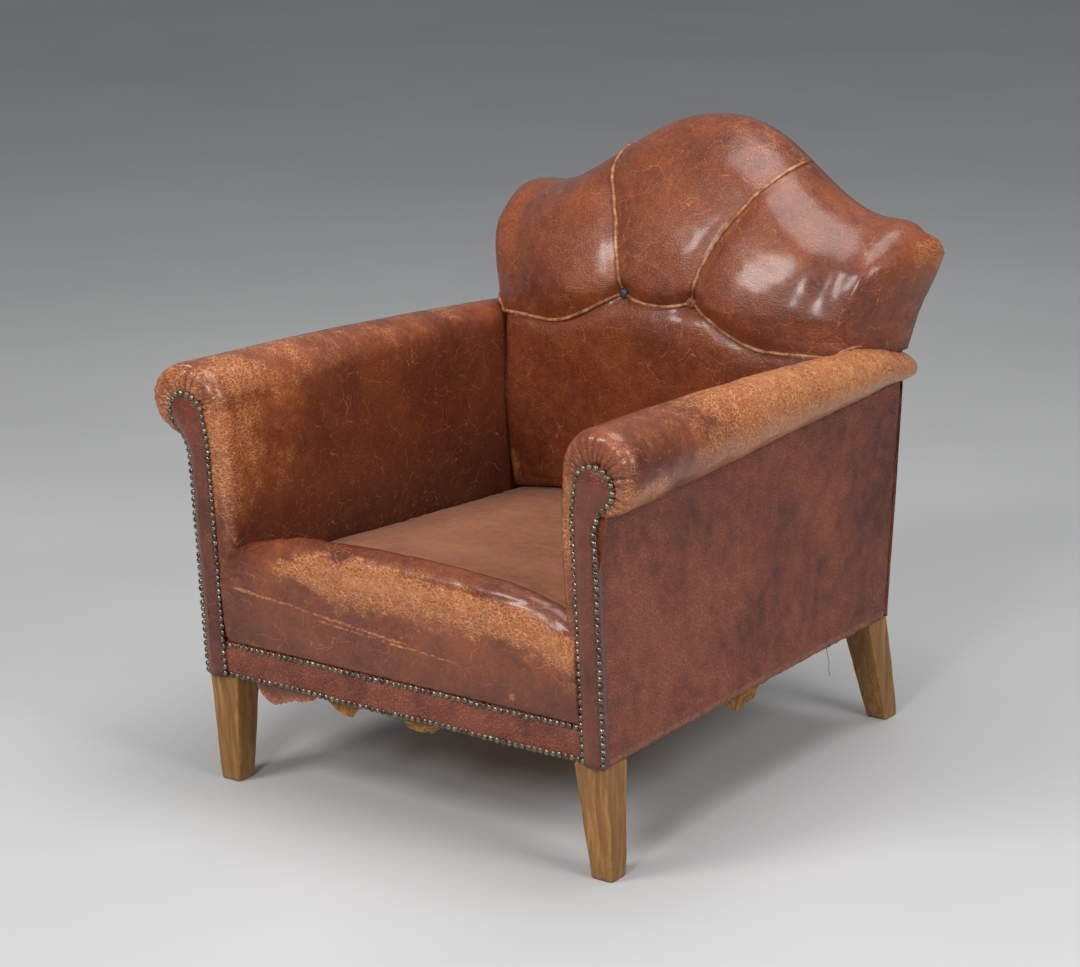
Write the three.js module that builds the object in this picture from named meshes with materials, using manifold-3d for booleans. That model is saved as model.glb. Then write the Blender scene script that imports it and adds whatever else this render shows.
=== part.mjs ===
// A worn leather club chair: rolled arms with nailed front facings, a camel-topped back in four
// leather pieces with welted seams and two pulled-in buttons, an open seat deck that has lost its
// loose cushion, and four tapered wooden legs. Inside are the beech frame, the webbing, nine coil
// springs and the hessian over them.
//
// Millimetres, +Z up, the front faces -Y, the origin is on the floor under the middle of the box.
// "left" and "right" are as seen by a person who stands in front of the chair: right is +X.
//
// Every piece is first laid out in an upright box and then leaned: the front faces lean forward a
// little towards the top, the back leans backward, and the body narrows a little to the rear.
import * as THREE from "three";
import { mergeVertices } from "three/addons/utils/BufferGeometryUtils.js";
import Module from "manifold-3d";

const wasm = await Module();
wasm.setup();

// ---- Driving dimensions ----
const HALF_WIDTH = 333; // from the middle to the outside of the outer arm leather
const FRONT = -393; // front plane of the body at the rails
const REAR = 311; // rear plane of the body at the rails
const BODY_BOTTOM = 160; // lower edge of the leather, top of the legs
const FRONT_LEAN = 0.041; // forward lean of the front faces, mm per mm of height
const REAR_LEAN = 0.113; // backward lean of the rear faces up to the arm tops
const BACK_LEAN = 0.27; // backward lean of the back above the arm tops
const BACK_BEND = 548; // height at which the back starts to lean more
const REAR_NARROWING = 0.018; // share of the width lost between the front and the rear
const GAP = 0.4; // clearance left between two pieces that touch
const LEATHER = 3; // thickness of a leather panel with its lining

const RAIL_THICK = 28;
const RAIL_BOTTOM = 165;
const RAIL_TOP = 235;
const FRAME_SIDE = HALF_WIDTH - 2 * LEATHER; // outer face of the wooden frame
const FRAME_FRONT = FRONT + 10;
const FRAME_REAR = REAR - 2 * LEATHER;
const POST = 42; // section of the posts

const ARM_SLAB = 303; // outer face of the padded inside arm
const DECK_BOTTOM = 257;
const LIP_TOP = 380; // crown of the leather roll along the seat's front edge
const LIP_DROP = 37; // how far the lip falls towards the arms
const BORDER_TOP = 211; // upper edge of the leather band over the front rail
const CROWN_TOP = 838;
const SHOULDER_TOP = 722;
const SHOULDER_HALF = 366;
const TOP_ROLL = 60; // depth of the rounding along the top of the back
const BUTTON = { x: 59, z: 601, radius: 8 };
const WELT = 3.2; // radius of the welts over the seams of the back
const NAIL = 4.7; // radius of the head of an upholstery nail

// ---- Solids and booleans ----

const leanOf = (z) => {
  const low = Math.max(0, Math.min(z, BACK_BEND) - BODY_BOTTOM);
  const high = Math.max(0, z - BACK_BEND);
  return { front: -FRONT_LEAN * (low + high), rear: REAR_LEAN * low + BACK_LEAN * high };
};

// Moves a point of the upright box to its place in the leaning body.
function leanPoint(x, y, z) {
  const share = (y - FRONT) / (REAR - FRONT);
  const lean = leanOf(z);
  return [x * (1 - REAR_NARROWING * share), y + lean.front * (1 - share) + lean.rear * share, z];
}

function leaned(geometry) {
  const spot = geometry.attributes.position;
  for (let i = 0; i < spot.count; i++) {
    spot.setXYZ(i, ...leanPoint(spot.getX(i), spot.getY(i), spot.getZ(i)));
  }
  return geometry;
}

function toSolid(geometry) {
  const bare = geometry.clone();
  bare.deleteAttribute("normal");
  bare.deleteAttribute("uv");
  const merged = mergeVertices(bare, 1e-4);
  const made = new wasm.Manifold(
    new wasm.Mesh({
      numProp: 3,
      vertProperties: new Float32Array(merged.attributes.position.array),
      triVerts: new Uint32Array(merged.index.array),
    }),
  );
  return made;
}

function toGeometry(solid) {
  const raw = solid.getMesh();
  const spots = new Float32Array(raw.numVert * 3);
  for (let i = 0; i < raw.numVert; i++) {
    spots.set(raw.vertProperties.subarray(i * raw.numProp, i * raw.numProp + 3), i * 3);
  }
  const geometry = new THREE.BufferGeometry();
  geometry.setAttribute("position", new THREE.BufferAttribute(spots, 3));
  geometry.setIndex(new THREE.BufferAttribute(new Uint32Array(raw.triVerts), 1));
  geometry.computeVertexNormals();
  return geometry;
}

const minus = (solid, ...cutters) => cutters.reduce((left, cutter) => left.subtract(cutter), solid);
const plus = (...solids) => solids.reduce((whole, piece) => whole.add(piece));

// A block between two corners, grown on every side by grow.
function block([x0, y0, z0], [x1, y1, z1], grow = 0) {
  const box = new THREE.BoxGeometry(x1 - x0 + 2 * grow, y1 - y0 + 2 * grow, z1 - z0 + 2 * grow);
  return toSolid(leaned(box.translate((x0 + x1) / 2, (y0 + y1) / 2, (z0 + z1) / 2)));
}

// A flat outline in the XZ plane, given as [x, z] points, carried from y0 to y1.
function plate(outline, y0, y1) {
  const shape = new THREE.Shape(outline.map(([x, z]) => new THREE.Vector2(x, z)));
  const geometry = new THREE.ExtrudeGeometry(shape, { depth: y1 - y0, bevelEnabled: false });
  return toSolid(leaned(geometry.rotateX(Math.PI / 2).translate(0, y1, 0)));
}

// A solid through rings of points [x, y, z] that all have the same count, closed by flat caps.
function loft(rings) {
  const count = rings[0].length;
  const spots = rings.flat().map(([x, y, z]) => leanPoint(x, y, z));
  const faces = [];
  for (let k = 0; k + 1 < rings.length; k++) {
    for (let i = 0; i < count; i++) {
      const a = k * count + i;
      const b = k * count + ((i + 1) % count);
      faces.push(a, b, b + count, a, b + count, a + count);
    }
  }
  const acrossX = rings[0].some(([, y]) => y !== rings[0][0][1]);
  const flat = rings[0].map(([x, y, z]) => new THREE.Vector2(acrossX ? y : x, z));
  const last = (rings.length - 1) * count;
  for (const corners of THREE.ShapeUtils.triangulateShape(flat, [])) {
    // The caps turn the same way as the outline itself.
    const [a, b, c] = THREE.ShapeUtils.isClockWise(corners.map((i) => flat[i])) ===
      THREE.ShapeUtils.isClockWise(flat) ? corners : [corners[0], corners[2], corners[1]];
    faces.push(a, c, b, last + a, last + b, last + c);
  }
  const geometry = new THREE.BufferGeometry();
  geometry.setAttribute("position", new THREE.Float32BufferAttribute(spots.flat(), 3));
  geometry.setIndex(faces);
  const solid = toSolid(geometry);
  if (solid.volume() > 0) return solid;
  const turned = [];
  for (let i = 0; i < faces.length; i += 3) turned.push(faces[i], faces[i + 2], faces[i + 1]);
  geometry.setIndex(turned);
  return toSolid(geometry);
}

// A round rod along a list of [x, y, z] points.
function rod(points, radius, sides, steps) {
  const path = new THREE.CatmullRomCurve3(points.map((p) => new THREE.Vector3(...p)));
  const section = new THREE.Shape();
  for (let i = 0; i < sides; i++) {
    const turn = (i / sides) * 2 * Math.PI;
    const spot = [radius * Math.cos(turn), radius * Math.sin(turn)];
    if (i) section.lineTo(...spot);
    else section.moveTo(...spot);
  }
  return toSolid(new THREE.ExtrudeGeometry(section, { steps, extrudePath: path }));
}

const mirrored = (solid) => solid.mirror([1, 0, 0]);

// The largest body of a cut solid, without the slivers that a cut can leave.
const mainBody = (solid) => solid.decompose().reduce((a, b) => (b.volume() > a.volume() ? b : a));

const range = (count) => [...Array(count).keys()];
const blendOf = (a, b, share) => a + (b - a) * share;

// ---- The group ----

const chair = new THREE.Group();
const FINISH = {
  frameWood: { color: 0xb58a5a, roughness: 0.7 },
  legWood: { color: 0x8a6a35, roughness: 0.5 },
  leather: { color: 0x7a3a20, roughness: 0.45 },
  panelLeather: { color: 0x6b3528, roughness: 0.6 },
  wornWelt: { color: 0xa8683a, roughness: 0.6 },
  deckCloth: { color: 0x9b6448, roughness: 0.95 },
  jute: { color: 0xa98352, roughness: 0.95 },
  steel: { color: 0x55504a, roughness: 0.5, metalness: 0.8 },
  brass: { color: 0x6f6a4c, roughness: 0.4, metalness: 0.8 },
};
const material = Object.fromEntries(
  Object.entries(FINISH).map(([name, look]) => [name, new THREE.MeshStandardMaterial(look)]),
);

function add(name, solid, finish) {
  const mesh = new THREE.Mesh(toGeometry(mainBody(solid)), material[finish]);
  mesh.name = name;
  chair.add(mesh);
}

// Adds the piece made for the right-hand side and its mirror image for the left.
function addPair(name, rightSolid, finish) {
  add(`${name}_right`, rightSolid, finish);
  add(`${name}_left`, mirrored(rightSolid), finish);
}

// ---- Frame ----

const INNER_POST = FRAME_SIDE - POST; // inner face of the posts
const ARM_RAIL = { x0: 302, x1: 338, z0: 508, z1: 532 };
const HEAD = { x: 338, z: 551, radius: 42 }; // scroll-cut head of the front post

const FRONT_DOWEL = [306, FRAME_FRONT + 15];
const BACK_DOWEL = [299, FRAME_REAR - POST / 2];
const DOWEL_RADIUS = 8;

// The dowel that joins a leg to the post above it.
function dowel([x, y], grow = 0) {
  const peg = new THREE.CylinderGeometry(DOWEL_RADIUS + grow, DOWEL_RADIUS + grow, 40 + 2 * grow, 12);
  return toSolid(peg.rotateX(Math.PI / 2).translate(x, y, BODY_BOTTOM - 8 + 20));
}

function frontPost(grow = 0) {
  const stem = block([INNER_POST, FRAME_FRONT, RAIL_BOTTOM], [FRAME_SIDE, FRAME_FRONT + 30, 540], grow);
  const round = range(20).map((i) => {
    const turn = (i / 20) * 2 * Math.PI;
    return [HEAD.x + (HEAD.radius + grow) * Math.cos(turn), HEAD.z + (HEAD.radius + grow) * Math.sin(turn)];
  });
  return plus(stem, plate(round, FRAME_FRONT - grow, FRAME_FRONT + 30 + grow));
}

const backPost = (grow = 0) =>
  plus(
    block([INNER_POST, FRAME_REAR - POST, RAIL_BOTTOM], [FRAME_SIDE, FRAME_REAR, BACK_BEND - grow], grow),
    block([INNER_POST, FRAME_REAR - POST, BACK_BEND + grow], [FRAME_SIDE, FRAME_REAR, 676], grow),
  );

const armRail = (grow = 0) =>
  block(
    [ARM_RAIL.x0, FRAME_FRONT + 30 + GAP - 2 * grow, ARM_RAIL.z0],
    [ARM_RAIL.x1, FRAME_REAR - POST - GAP + 2 * grow, ARM_RAIL.z1],
    grow,
  );

// Height of the back's top edge above a point x across it.
function backTop(x) {
  const share = Math.min(1, Math.abs(x) / 290) ** 1.12;
  return SHOULDER_TOP + (CROWN_TOP - SHOULDER_TOP) * 0.5 * (1 + Math.cos(Math.PI * share));
}

function crestRail(grow = 0) {
  const steps = 16;
  const reach = INNER_POST - GAP;
  const across = range(steps + 1).map((i) => -reach + (2 * reach * i) / steps);
  const upper = across.map((x) => [x + Math.sign(x) * grow, backTop(x) - 50 + grow]);
  const lower = across.map((x) => [x + Math.sign(x) * grow, backTop(x) - 108 - grow]).reverse();
  return plate([...upper, ...lower], FRAME_REAR - 36 - grow, FRAME_REAR - 6 + grow);
}

const backStuffingRail = (grow = 0) =>
  block([-INNER_POST + GAP, FRAME_REAR - 34, 300], [INNER_POST - GAP, FRAME_REAR - 8, 345], grow);

const railEnd = INNER_POST - GAP;
const sideRailIn = FRAME_SIDE - RAIL_THICK;
const railFrontY = FRAME_FRONT + 30 + GAP;
const railRearY = FRAME_REAR - POST - GAP;
add("front_seat_rail", block([-railEnd, FRAME_FRONT, RAIL_BOTTOM], [railEnd, FRAME_FRONT + RAIL_THICK, RAIL_TOP]), "frameWood");
add("back_seat_rail", block([-railEnd, FRAME_REAR - RAIL_THICK, RAIL_BOTTOM], [railEnd, FRAME_REAR, RAIL_TOP]), "frameWood");
addPair("side_seat_rail", block([sideRailIn, railFrontY, RAIL_BOTTOM], [FRAME_SIDE, railRearY, RAIL_TOP]), "frameWood");
addPair("front_arm_post", frontPost().subtract(dowel(FRONT_DOWEL, GAP)), "frameWood");
addPair("back_post", backPost().subtract(dowel(BACK_DOWEL, GAP)), "frameWood");
addPair("arm_top_rail", armRail(), "frameWood");
add("back_crest_rail", crestRail(), "frameWood");
add("back_stuffing_rail", backStuffingRail(), "frameWood");

// ---- Legs and corner blocks ----

const LEG_TOP = 48;
const LEG_FOOT = 33;
// A square taper from the foot up to the body, with a dowel on top that goes up into the post.
function leg(top, foot, dowelAt) {
  const corners = ([x, y], size, z) => [[x, y, z], [x + size, y, z], [x + size, y + size, z], [x, y + size, z]];
  const spots = [...corners(foot, LEG_FOOT, 0), ...corners(top, LEG_TOP, BODY_BOTTOM - GAP)].flat();
  const faces = [0, 2, 1, 0, 3, 2, 4, 5, 6, 4, 6, 7];
  for (let i = 0; i < 4; i++) {
    const next = (i + 1) % 4;
    faces.push(i, next, 4 + next, i, 4 + next, 4 + i);
  }
  const geometry = new THREE.BufferGeometry();
  geometry.setAttribute("position", new THREE.Float32BufferAttribute(spots, 3));
  geometry.setIndex(faces);
  return toSolid(geometry).add(dowel(dowelAt));
}

const rearEdge = HALF_WIDTH * (1 - REAR_NARROWING) - 2;
addPair("front_leg", leg([HALF_WIDTH - 2 - LEG_TOP, FRONT + 1], [298, FRONT + 12], FRONT_DOWEL), "legWood");
addPair("back_leg", leg([rearEdge - LEG_TOP, REAR - LEG_TOP - 1], [291, 312], BACK_DOWEL), "legWood");

// A three-cornered block glued between two rails beside a post.
function cornerBlock(x, y, reachY) {
  const shape = new THREE.Shape([[x, y], [x - 62, y], [x, y + reachY]].map((spot) => new THREE.Vector2(...spot)));
  const prism = new THREE.ExtrudeGeometry(shape, { depth: 50, bevelEnabled: false });
  return toSolid(leaned(prism.translate(0, 0, RAIL_BOTTOM + 12)));
}

const blockSide = sideRailIn - GAP;
addPair("front_corner_block", minus(cornerBlock(blockSide, FRAME_FRONT + 32, 62), frontPost(GAP)), "frameWood");
addPair("back_corner_block", minus(cornerBlock(blockSide, FRAME_REAR - 32, -62), backPost(GAP)), "frameWood");

// ---- Webbing, springs and the hessian over them ----

const WEB_X = [-160, 0, 160];
const WEB_Y = [-235, -40, 155];
const WEB_HALF = 27;
const WEB_Z = 163.5;

// A strap that passes over and under the three straps that cross it.
function wovenStrap(from, to, crossings, firstSide, alongX, at) {
  const knots = [[from, 0]];
  crossings.forEach((s, i) => {
    const side = firstSide * (i % 2 ? -1 : 1) * 0.7;
    knots.push([s - WEB_HALF - 2, side], [s + WEB_HALF + 2, side]);
  });
  knots.push([to, 0]);
  const line = [...knots.map(([s, z]) => [s, z + 0.5]), ...knots.map(([s, z]) => [s, z - 0.5]).reverse()];
  const shape = new THREE.Shape(line.map(([s, z]) => new THREE.Vector2(s, z)));
  const geometry = new THREE.ExtrudeGeometry(shape, { depth: 2 * WEB_HALF, bevelEnabled: false });
  geometry.translate(0, 0, -WEB_HALF).rotateX(Math.PI / 2);
  if (!alongX) geometry.rotateZ(Math.PI / 2);
  return toSolid(geometry.translate(alongX ? 0 : at, alongX ? at : 0, WEB_Z));
}

WEB_Y.forEach((y, i) => {
  add(`web_cross_${i + 1}`, wovenStrap(-290, 290, WEB_X, i % 2 ? -1 : 1, true, y), "jute");
});
WEB_X.forEach((x, i) => {
  add(`web_long_${i + 1}`, wovenStrap(FRAME_FRONT + 2, REAR - 10, WEB_Y, i % 2 ? 1 : -1, false, x), "jute");
});

const SPRING = { wire: 1.9, ends: 30, waist: 19, turns: 4.4, bottom: WEB_Z + 3.8, top: 248 };

function spring(x, y) {
  const turns = [];
  for (let i = 0; i <= 30; i++) {
    const share = i / 30;
    const radius = blendOf(SPRING.waist, SPRING.ends, (2 * share - 1) ** 2);
    const turn = share * SPRING.turns * 2 * Math.PI;
    const z = blendOf(SPRING.bottom, SPRING.top, share);
    turns.push([x + radius * Math.cos(turn), y + radius * Math.sin(turn), z]);
  }
  return rod(turns, SPRING.wire, 4, 30);
}

WEB_X.forEach((x, i) => {
  WEB_Y.forEach((y, k) => add(`spring_${i + 1}_${k + 1}`, spring(x, y), "steel"));
});
add("spring_hessian", block([-283, FRAME_FRONT + 42, 251.5], [283, 262, 254]), "jute");

// ---- Seat: the deck with its cloth, and the leather roll along the front ----

const deckTop = (x, y) => {
  const side = 1 - Math.abs(x / 285) ** 2.4;
  const rear = (y + 345) / 600;
  return blendOf(blendOf(309, 272, rear), blendOf(352, 292, rear), side);
};

// Height of the leather lip at x: level in the middle, falling towards the arms.
const lipTop = (x) => LIP_TOP - LIP_DROP * Math.min(1, Math.abs(x / 284)) ** 3.4;

const acrossDeck = [-279, -262, -225, -170, -90, 0, 90, 170, 225, 262, 279];
const alongDeck = [-344, -300, -220, -120, 0, 120, 200, 258];
const deck = loft(
  acrossDeck.map((x) => [
    ...alongDeck.map((y) => [x, y, deckTop(x, y)]),
    [x, 258, DECK_BOTTOM],
    [x, -344, DECK_BOTTOM],
  ]),
);

const lipSection = (x) => {
  const top = lipTop(x);
  const deckEdge = Math.min(top - 4, deckTop(x, -345) + 5);
  return [
    [x, FRONT + 1, BORDER_TOP],
    [x, FRONT - 3, 250],
    [x, FRONT - 5, 300],
    [x, FRONT - 4, top - 34],
    [x, FRONT + 1, top - 14],
    [x, FRONT + 11, top - 3],
    [x, FRONT + 24, top],
    [x, FRONT + 38, top - 4],
    [x, -344.5, deckEdge],
    [x, -344.5, RAIL_TOP + 2],
    [x, FRAME_FRONT - 2, RAIL_TOP + 2],
    [x, FRAME_FRONT - 2, BORDER_TOP],
  ];
};
const frontRoll = loft([-294, -281, -262, -225, -180, -120, -60, 0, 60, 120, 180, 225, 262, 281, 294].map(lipSection));

// ---- Arms ----

const TOP_RIDGE = [[-395, 604], [-200, 596], [60, 577], [200, 563], [255, 555], [310, 536]];
function ridgeAt(y) {
  const next = Math.max(1, TOP_RIDGE.findIndex(([at]) => at >= y));
  const [[y0, z0], [y1, z1]] = [TOP_RIDGE[next - 1], TOP_RIDGE[next]];
  return blendOf(z0, z1, (y - y0) / (y1 - y0));
}

// The section of the arm at y: the padded inside arm with the roll on top of it.
function armSection(y, inset) {
  const share = (y - FRONT) / (300 - FRONT);
  const top = ridgeAt(y) - inset;
  const bottom = blendOf(490, 499, share) + inset;
  const outside = blendOf(395, 356, share) - inset;
  const reachX = blendOf(59, 35, share) - inset * 0.8;
  const middle = [outside - reachX, (top + bottom) / 2];
  const reachZ = (top - bottom) / 2;
  const start = Math.PI + Math.acos(Math.min(0.95, (middle[0] - ARM_SLAB) / reachX));
  const ring = [[ARM_SLAB, y, DECK_BOTTOM], [ARM_SLAB, y, 400]];
  for (let i = 0; i <= 16; i++) {
    const turn = blendOf(start - 2 * Math.PI, Math.PI, i / 16);
    ring.push([middle[0] + reachX * Math.cos(turn), y, middle[1] + reachZ * Math.sin(turn)]);
  }
  const inner = blendOf(0, 10, share) + inset * 0.5;
  ring.push([272 + inner, y, 500], [269 + inner, y, 450], [270 + inner, y, 400], [274 + inner, y, 340]);
  ring.push([279 + inner, y, 290], [281 + inner * 0.5, y, DECK_BOTTOM]);
  return ring;
}

const armStations = [[FRONT + 1, 14], [FRONT + 8, 5], [FRONT + 22, 0], [-300, 0], [-180, 0], [-60, 0], [60, 0]];
armStations.push([180, 0], [255, 0], [FRAME_REAR - GAP, 0]);
const armBody = loft(armStations.map(([y, inset]) => armSection(y, inset)));

// The nailed strip over the front of the arm: a straight band that ends in a round head.
const STRIP = { inner: 300, outer: 331, headX: 334, headZ: 530, head: 28 };

// The line of nails around a facing, from the foot of the inner side to the foot of the outer side.
function nailLine(grow = 0) {
  const { inner, outer, headX, headZ, head } = STRIP;
  const line = [BODY_BOTTOM + 4, 190, 300, 420, 500].map((z) => [inner - grow, z]);
  for (let i = 0; i <= 14; i++) {
    const turn = blendOf(Math.PI * 1.04, -Math.PI * 0.42, i / 14);
    line.push([headX + (head + grow) * Math.cos(turn), headZ + (head + grow) * Math.sin(turn)]);
  }
  line.push([outer + 1 + grow, 488 - grow]);
  for (const z of [465, 380, 280, 190, BODY_BOTTOM + 4]) line.push([outer + grow, z]);
  return line;
}

function facing(grow = 0) {
  const outline = nailLine(2 + grow);
  outline[0] = [outline[0][0], BODY_BOTTOM - grow];
  outline[outline.length - 1] = [outline[outline.length - 1][0], BODY_BOTTOM - grow];
  return plate(outline, FRONT - 3.5 - grow, FRAME_FRONT - GAP + grow);
}

const posts = plus(frontPost(GAP), backPost(GAP), armRail(GAP));
const bothPosts = plus(posts, mirrored(posts));
const armPad = minus(armBody, posts, facing(GAP), backStuffingRail(GAP));
addPair("arm_pad", armPad, "leather");
addPair("arm_facing", facing(), "leather");

const armRoom = loft([[FRONT - 1, 13], ...armStations.slice(1)].map(([y, inset]) => armSection(y, inset - 0.8)));
const armSpace = plus(armRoom, mirrored(armRoom));
const bothFacings = plus(facing(GAP), mirrored(facing(GAP)));
add("seat_deck", minus(deck, bothPosts, armSpace), "deckCloth");
add("seat_front_roll", minus(frontRoll, bothPosts, bothFacings, armSpace), "leather");

const bandEnd = STRIP.inner - 2 - GAP;
const band = block([-bandEnd, FRONT, BODY_BOTTOM], [bandEnd, FRAME_FRONT - GAP, BORDER_TOP - GAP]);
add("front_border", band, "panelLeather");

// ---- Outside panels ----

const panelRear = REAR - LEATHER * 2;
const panelSection = (y, top) => [
  [FRAME_SIDE + GAP, y, BODY_BOTTOM], [HALF_WIDTH, y, BODY_BOTTOM], [HALF_WIDTH, y, top], [FRAME_SIDE + GAP, y, top],
];
const armPanel = loft([panelSection(FRONT + 2, 494), panelSection(panelRear, 506)]);
addPair("outside_arm", minus(armPanel, facing(GAP), armRoom), "panelLeather");

const backOutline = [[-HALF_WIDTH, BODY_BOTTOM], [HALF_WIDTH, BODY_BOTTOM], [HALF_WIDTH, 490], [326, 556]];
backOutline.push([334, 600], [332, 664], [312, 686]);
for (const x of [270, 230, 170, 110, 50, 0, -50, -110, -170, -230, -270]) backOutline.push([x, backTop(x) - 34]);
backOutline.push([-312, 686], [-332, 664], [-334, 600], [-326, 556], [-HALF_WIDTH, 490]);
add("outside_back", plate(backOutline, panelRear + GAP, REAR), "panelLeather");

// ---- Back: a lower pad and three pieces above it, with welts over the seams ----

// Height of the long seam: highest at the two buttons, lowest halfway out to the arms.
function seamAt(x) {
  const far = Math.abs(x);
  if (far < BUTTON.x) return blendOf(592, BUTTON.z, (far / BUTTON.x) ** 2);
  const share = Math.min(1, (far - BUTTON.x) / 141);
  return blendOf(BUTTON.z, 549, Math.sin((share * Math.PI) / 2) ** 1.2) - Math.max(0, far - 260) * 0.05;
}

// The front surface of the back in the upright box. It dips along the seams.
function backFront(x, z) {
  const rise = Math.max(0, z - 300) / 300;
  const far = Math.abs(x) / SHOULDER_HALF;
  const full = z < 601 ? blendOf(214, 158, rise ** 0.8) : blendOf(158, 214, ((z - 601) / 190) ** 1.5);
  const wing = 64 * far ** 3.4 * Math.min(1, Math.max(0, (z - 420) / 150));
  return full + wing;
}

// Vertical section of the upper back at x, from the long seam over the top to the rear.
function upperSection(x) {
  const foot = seamAt(x) + GAP;
  const far = Math.abs(x) / SHOULDER_HALF;
  const top = backTop(x) - 34 * far ** 9;
  const rear = REAR - 7 + Math.min(18, 1.2 * Math.max(0, Math.abs(x) - 346));
  const ring = [[x, REAR - 7, foot], [x, rear, top - 36], [x, rear + 2, top - 14], [x, rear - 8, top - 3], [x, rear - 22, top]];
  for (let i = 1; i <= 5; i++) {
    const turn = (i / 5) * (Math.PI / 2);
    const z = top - TOP_ROLL * (1 - Math.cos(turn));
    const front = backFront(x, top - TOP_ROLL);
    ring.push([x, blendOf(rear - 22, front, Math.sin(turn)), z]);
  }
  for (const share of [0.66, 0.33, 0.08]) {
    const z = blendOf(foot, top - TOP_ROLL, share);
    ring.push([x, backFront(x, z) - 6 * Math.sin(share * Math.PI), z]);
  }
  ring.push([x, backFront(x, foot) + 7, foot]);
  const narrow = (z) => 0.065 * far ** 6 * Math.min(1, Math.max(0, (670 - z) / 110));
  return ring.map(([, y, z]) => [x * (1 - narrow(z)), y, z]);
}

const upperStations = [-366, -358, -346, -300, -250, -200, -150, -105, -60, -25, 0];
const upperAcross = [...upperStations, ...upperStations.slice(0, -1).map((x) => -x).reverse()];
const upperBody = loft(upperAcross.map(upperSection));

function lowerSection(x) {
  const top = seamAt(x) - GAP;
  const ring = [[x, REAR - 40, 296], [x, REAR - 40, top], [x, backFront(x, top) + 7, top]];
  for (const share of [0.93, 0.75, 0.5, 0.25, 0.06]) {
    const z = blendOf(296, top, share);
    ring.push([x, backFront(x, z) - 5 * Math.sin(share * Math.PI), z]);
  }
  ring.push([x, backFront(x, 296) + 9, 296]);
  return ring;
}

const lowerStations = [-283, -274, -250, -200, -150, -105, -60, -25, 0];
const lowerAcross = [...lowerStations, ...lowerStations.slice(0, -1).map((x) => -x).reverse()];
const lowerBody = loft(lowerAcross.map(lowerSection));

const DIAGONAL = [[59, 601], [72, 650], [92, 700], [120, 745], [152, 786], [176, 830], [200, 900]];

// A thin curved knife along one of the two rising seams.
const knife = plate([...DIAGONAL, ...DIAGONAL.map(([x, z]) => [x + 1, z]).reverse()], -100, 500);
const wedge = plate([...DIAGONAL, [-200, 900], ...DIAGONAL.slice(0, -1).map(([x, z]) => [-x, z]).reverse()], -100, 500);

const onBack = (x, z, lift = 0) => leanPoint(x, backFront(x, z) + 4 - lift, z);
const seamXs = [-318, -290, -250, -200, -150, -100, -59, -30, 0, 30, 59, 100, 150, 200, 250, 290, 318];
const longSeam = seamXs.map((x) => onBack(x, seamAt(x)));

// Where the rising seam lies at a height z.
function diagonalX(z) {
  const next = Math.max(1, DIAGONAL.findIndex(([, at]) => at >= z));
  const [[x0, z0], [x1, z1]] = [DIAGONAL[next - 1], DIAGONAL[next]];
  return blendOf(x0, x1, (z - z0) / (z1 - z0));
}

// The rising seam: up the front of the back, round the roll along its top and over to the rear.
function risingSeam() {
  const rising = [610, 650, 700].map((z) => onBack(diagonalX(z), z, 4));
  for (const reach of [1.4, 1.05, 0.7, 0.35, 0]) {
    const roughly = backTop(150) - TOP_ROLL * (1 - Math.cos(reach));
    const x = diagonalX(roughly);
    const z = backTop(x) - TOP_ROLL * (1 - Math.cos(reach));
    const front = backFront(x, backTop(x) - TOP_ROLL);
    rising.push(leanPoint(diagonalX(z), blendOf(REAR - 29, front, Math.sin(reach)), z));
  }
  return rising;
}

const longWelt = rod(longSeam, WELT, 6, 28);
const longGroove = rod(longSeam, WELT + GAP, 6, 28);
const risingWelt = rod(risingSeam(), WELT, 6, 16);
const risingGroove = rod(risingSeam(), WELT + GAP, 6, 16);

function button(grow = 0) {
  const { radius } = BUTTON;
  const dome = new THREE.SphereGeometry(radius + grow, 10, 6).scale(1, 0.55, 1);
  return toSolid(dome.translate(...onBack(BUTTON.x, BUTTON.z, 1.5)));
}

const crest = crestRail(GAP);
const grooves = [longGroove, risingGroove, mirrored(risingGroove), button(GAP), mirrored(button(GAP))];
const upperFree = minus(upperBody, crest, bothPosts, armSpace, ...grooves);
add("back_crown", minus(upperFree.intersect(wedge), knife, mirrored(knife)), "leather");
const wings = minus(upperFree, wedge, knife, mirrored(knife));
const rightHalf = block([0.2, -500, 100], [500, 500, 1000]);
add("back_wing_right", wings.intersect(rightHalf), "leather");
add("back_wing_left", wings.intersect(mirrored(rightHalf)), "leather");
add("back_lower", minus(lowerBody, bothPosts, armSpace, backStuffingRail(GAP), ...grooves), "leather");
add("back_welt_long", minus(longWelt, risingGroove, mirrored(risingGroove), button(GAP), mirrored(button(GAP)), armSpace), "wornWelt");
addPair("back_welt_rising", minus(risingWelt, button(GAP)), "wornWelt");
addPair("back_button", button(), "leather");

// ---- Nails, as plain strips, and the bottom cloth ----

const nailSpots = nailLine().map(([x, z]) => [x, FRONT - 3.5, z]);
nailSpots.push([309, FRONT - 3.5, BODY_BOTTOM + 4]);
const facingNails = rod(nailSpots.map((spot) => leanPoint(...spot)), NAIL * 0.55, 5, 30);
addPair("facing_nails", minus(facingNails, facing(0.3)), "brass");

function bandNails(z, reach) {
  const row = [-reach, -reach / 3, reach / 3, reach].map((x) => leanPoint(x, FRONT, z));
  return minus(rod(row, NAIL * 0.55, 6, 3), block([-400, FRONT - 0.3, BODY_BOTTOM], [400, 0, 300]));
}

add("border_nails", bandNails(BORDER_TOP - 5, 293), "brass");
add("bottom_nails", bandNails(BODY_BOTTOM + 4, 293), "brass");
add("bottom_cloth", block([-282, FRAME_FRONT + 3, 160.4], [282, REAR - 12, 161.6]), "jute");

export default chair;
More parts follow.
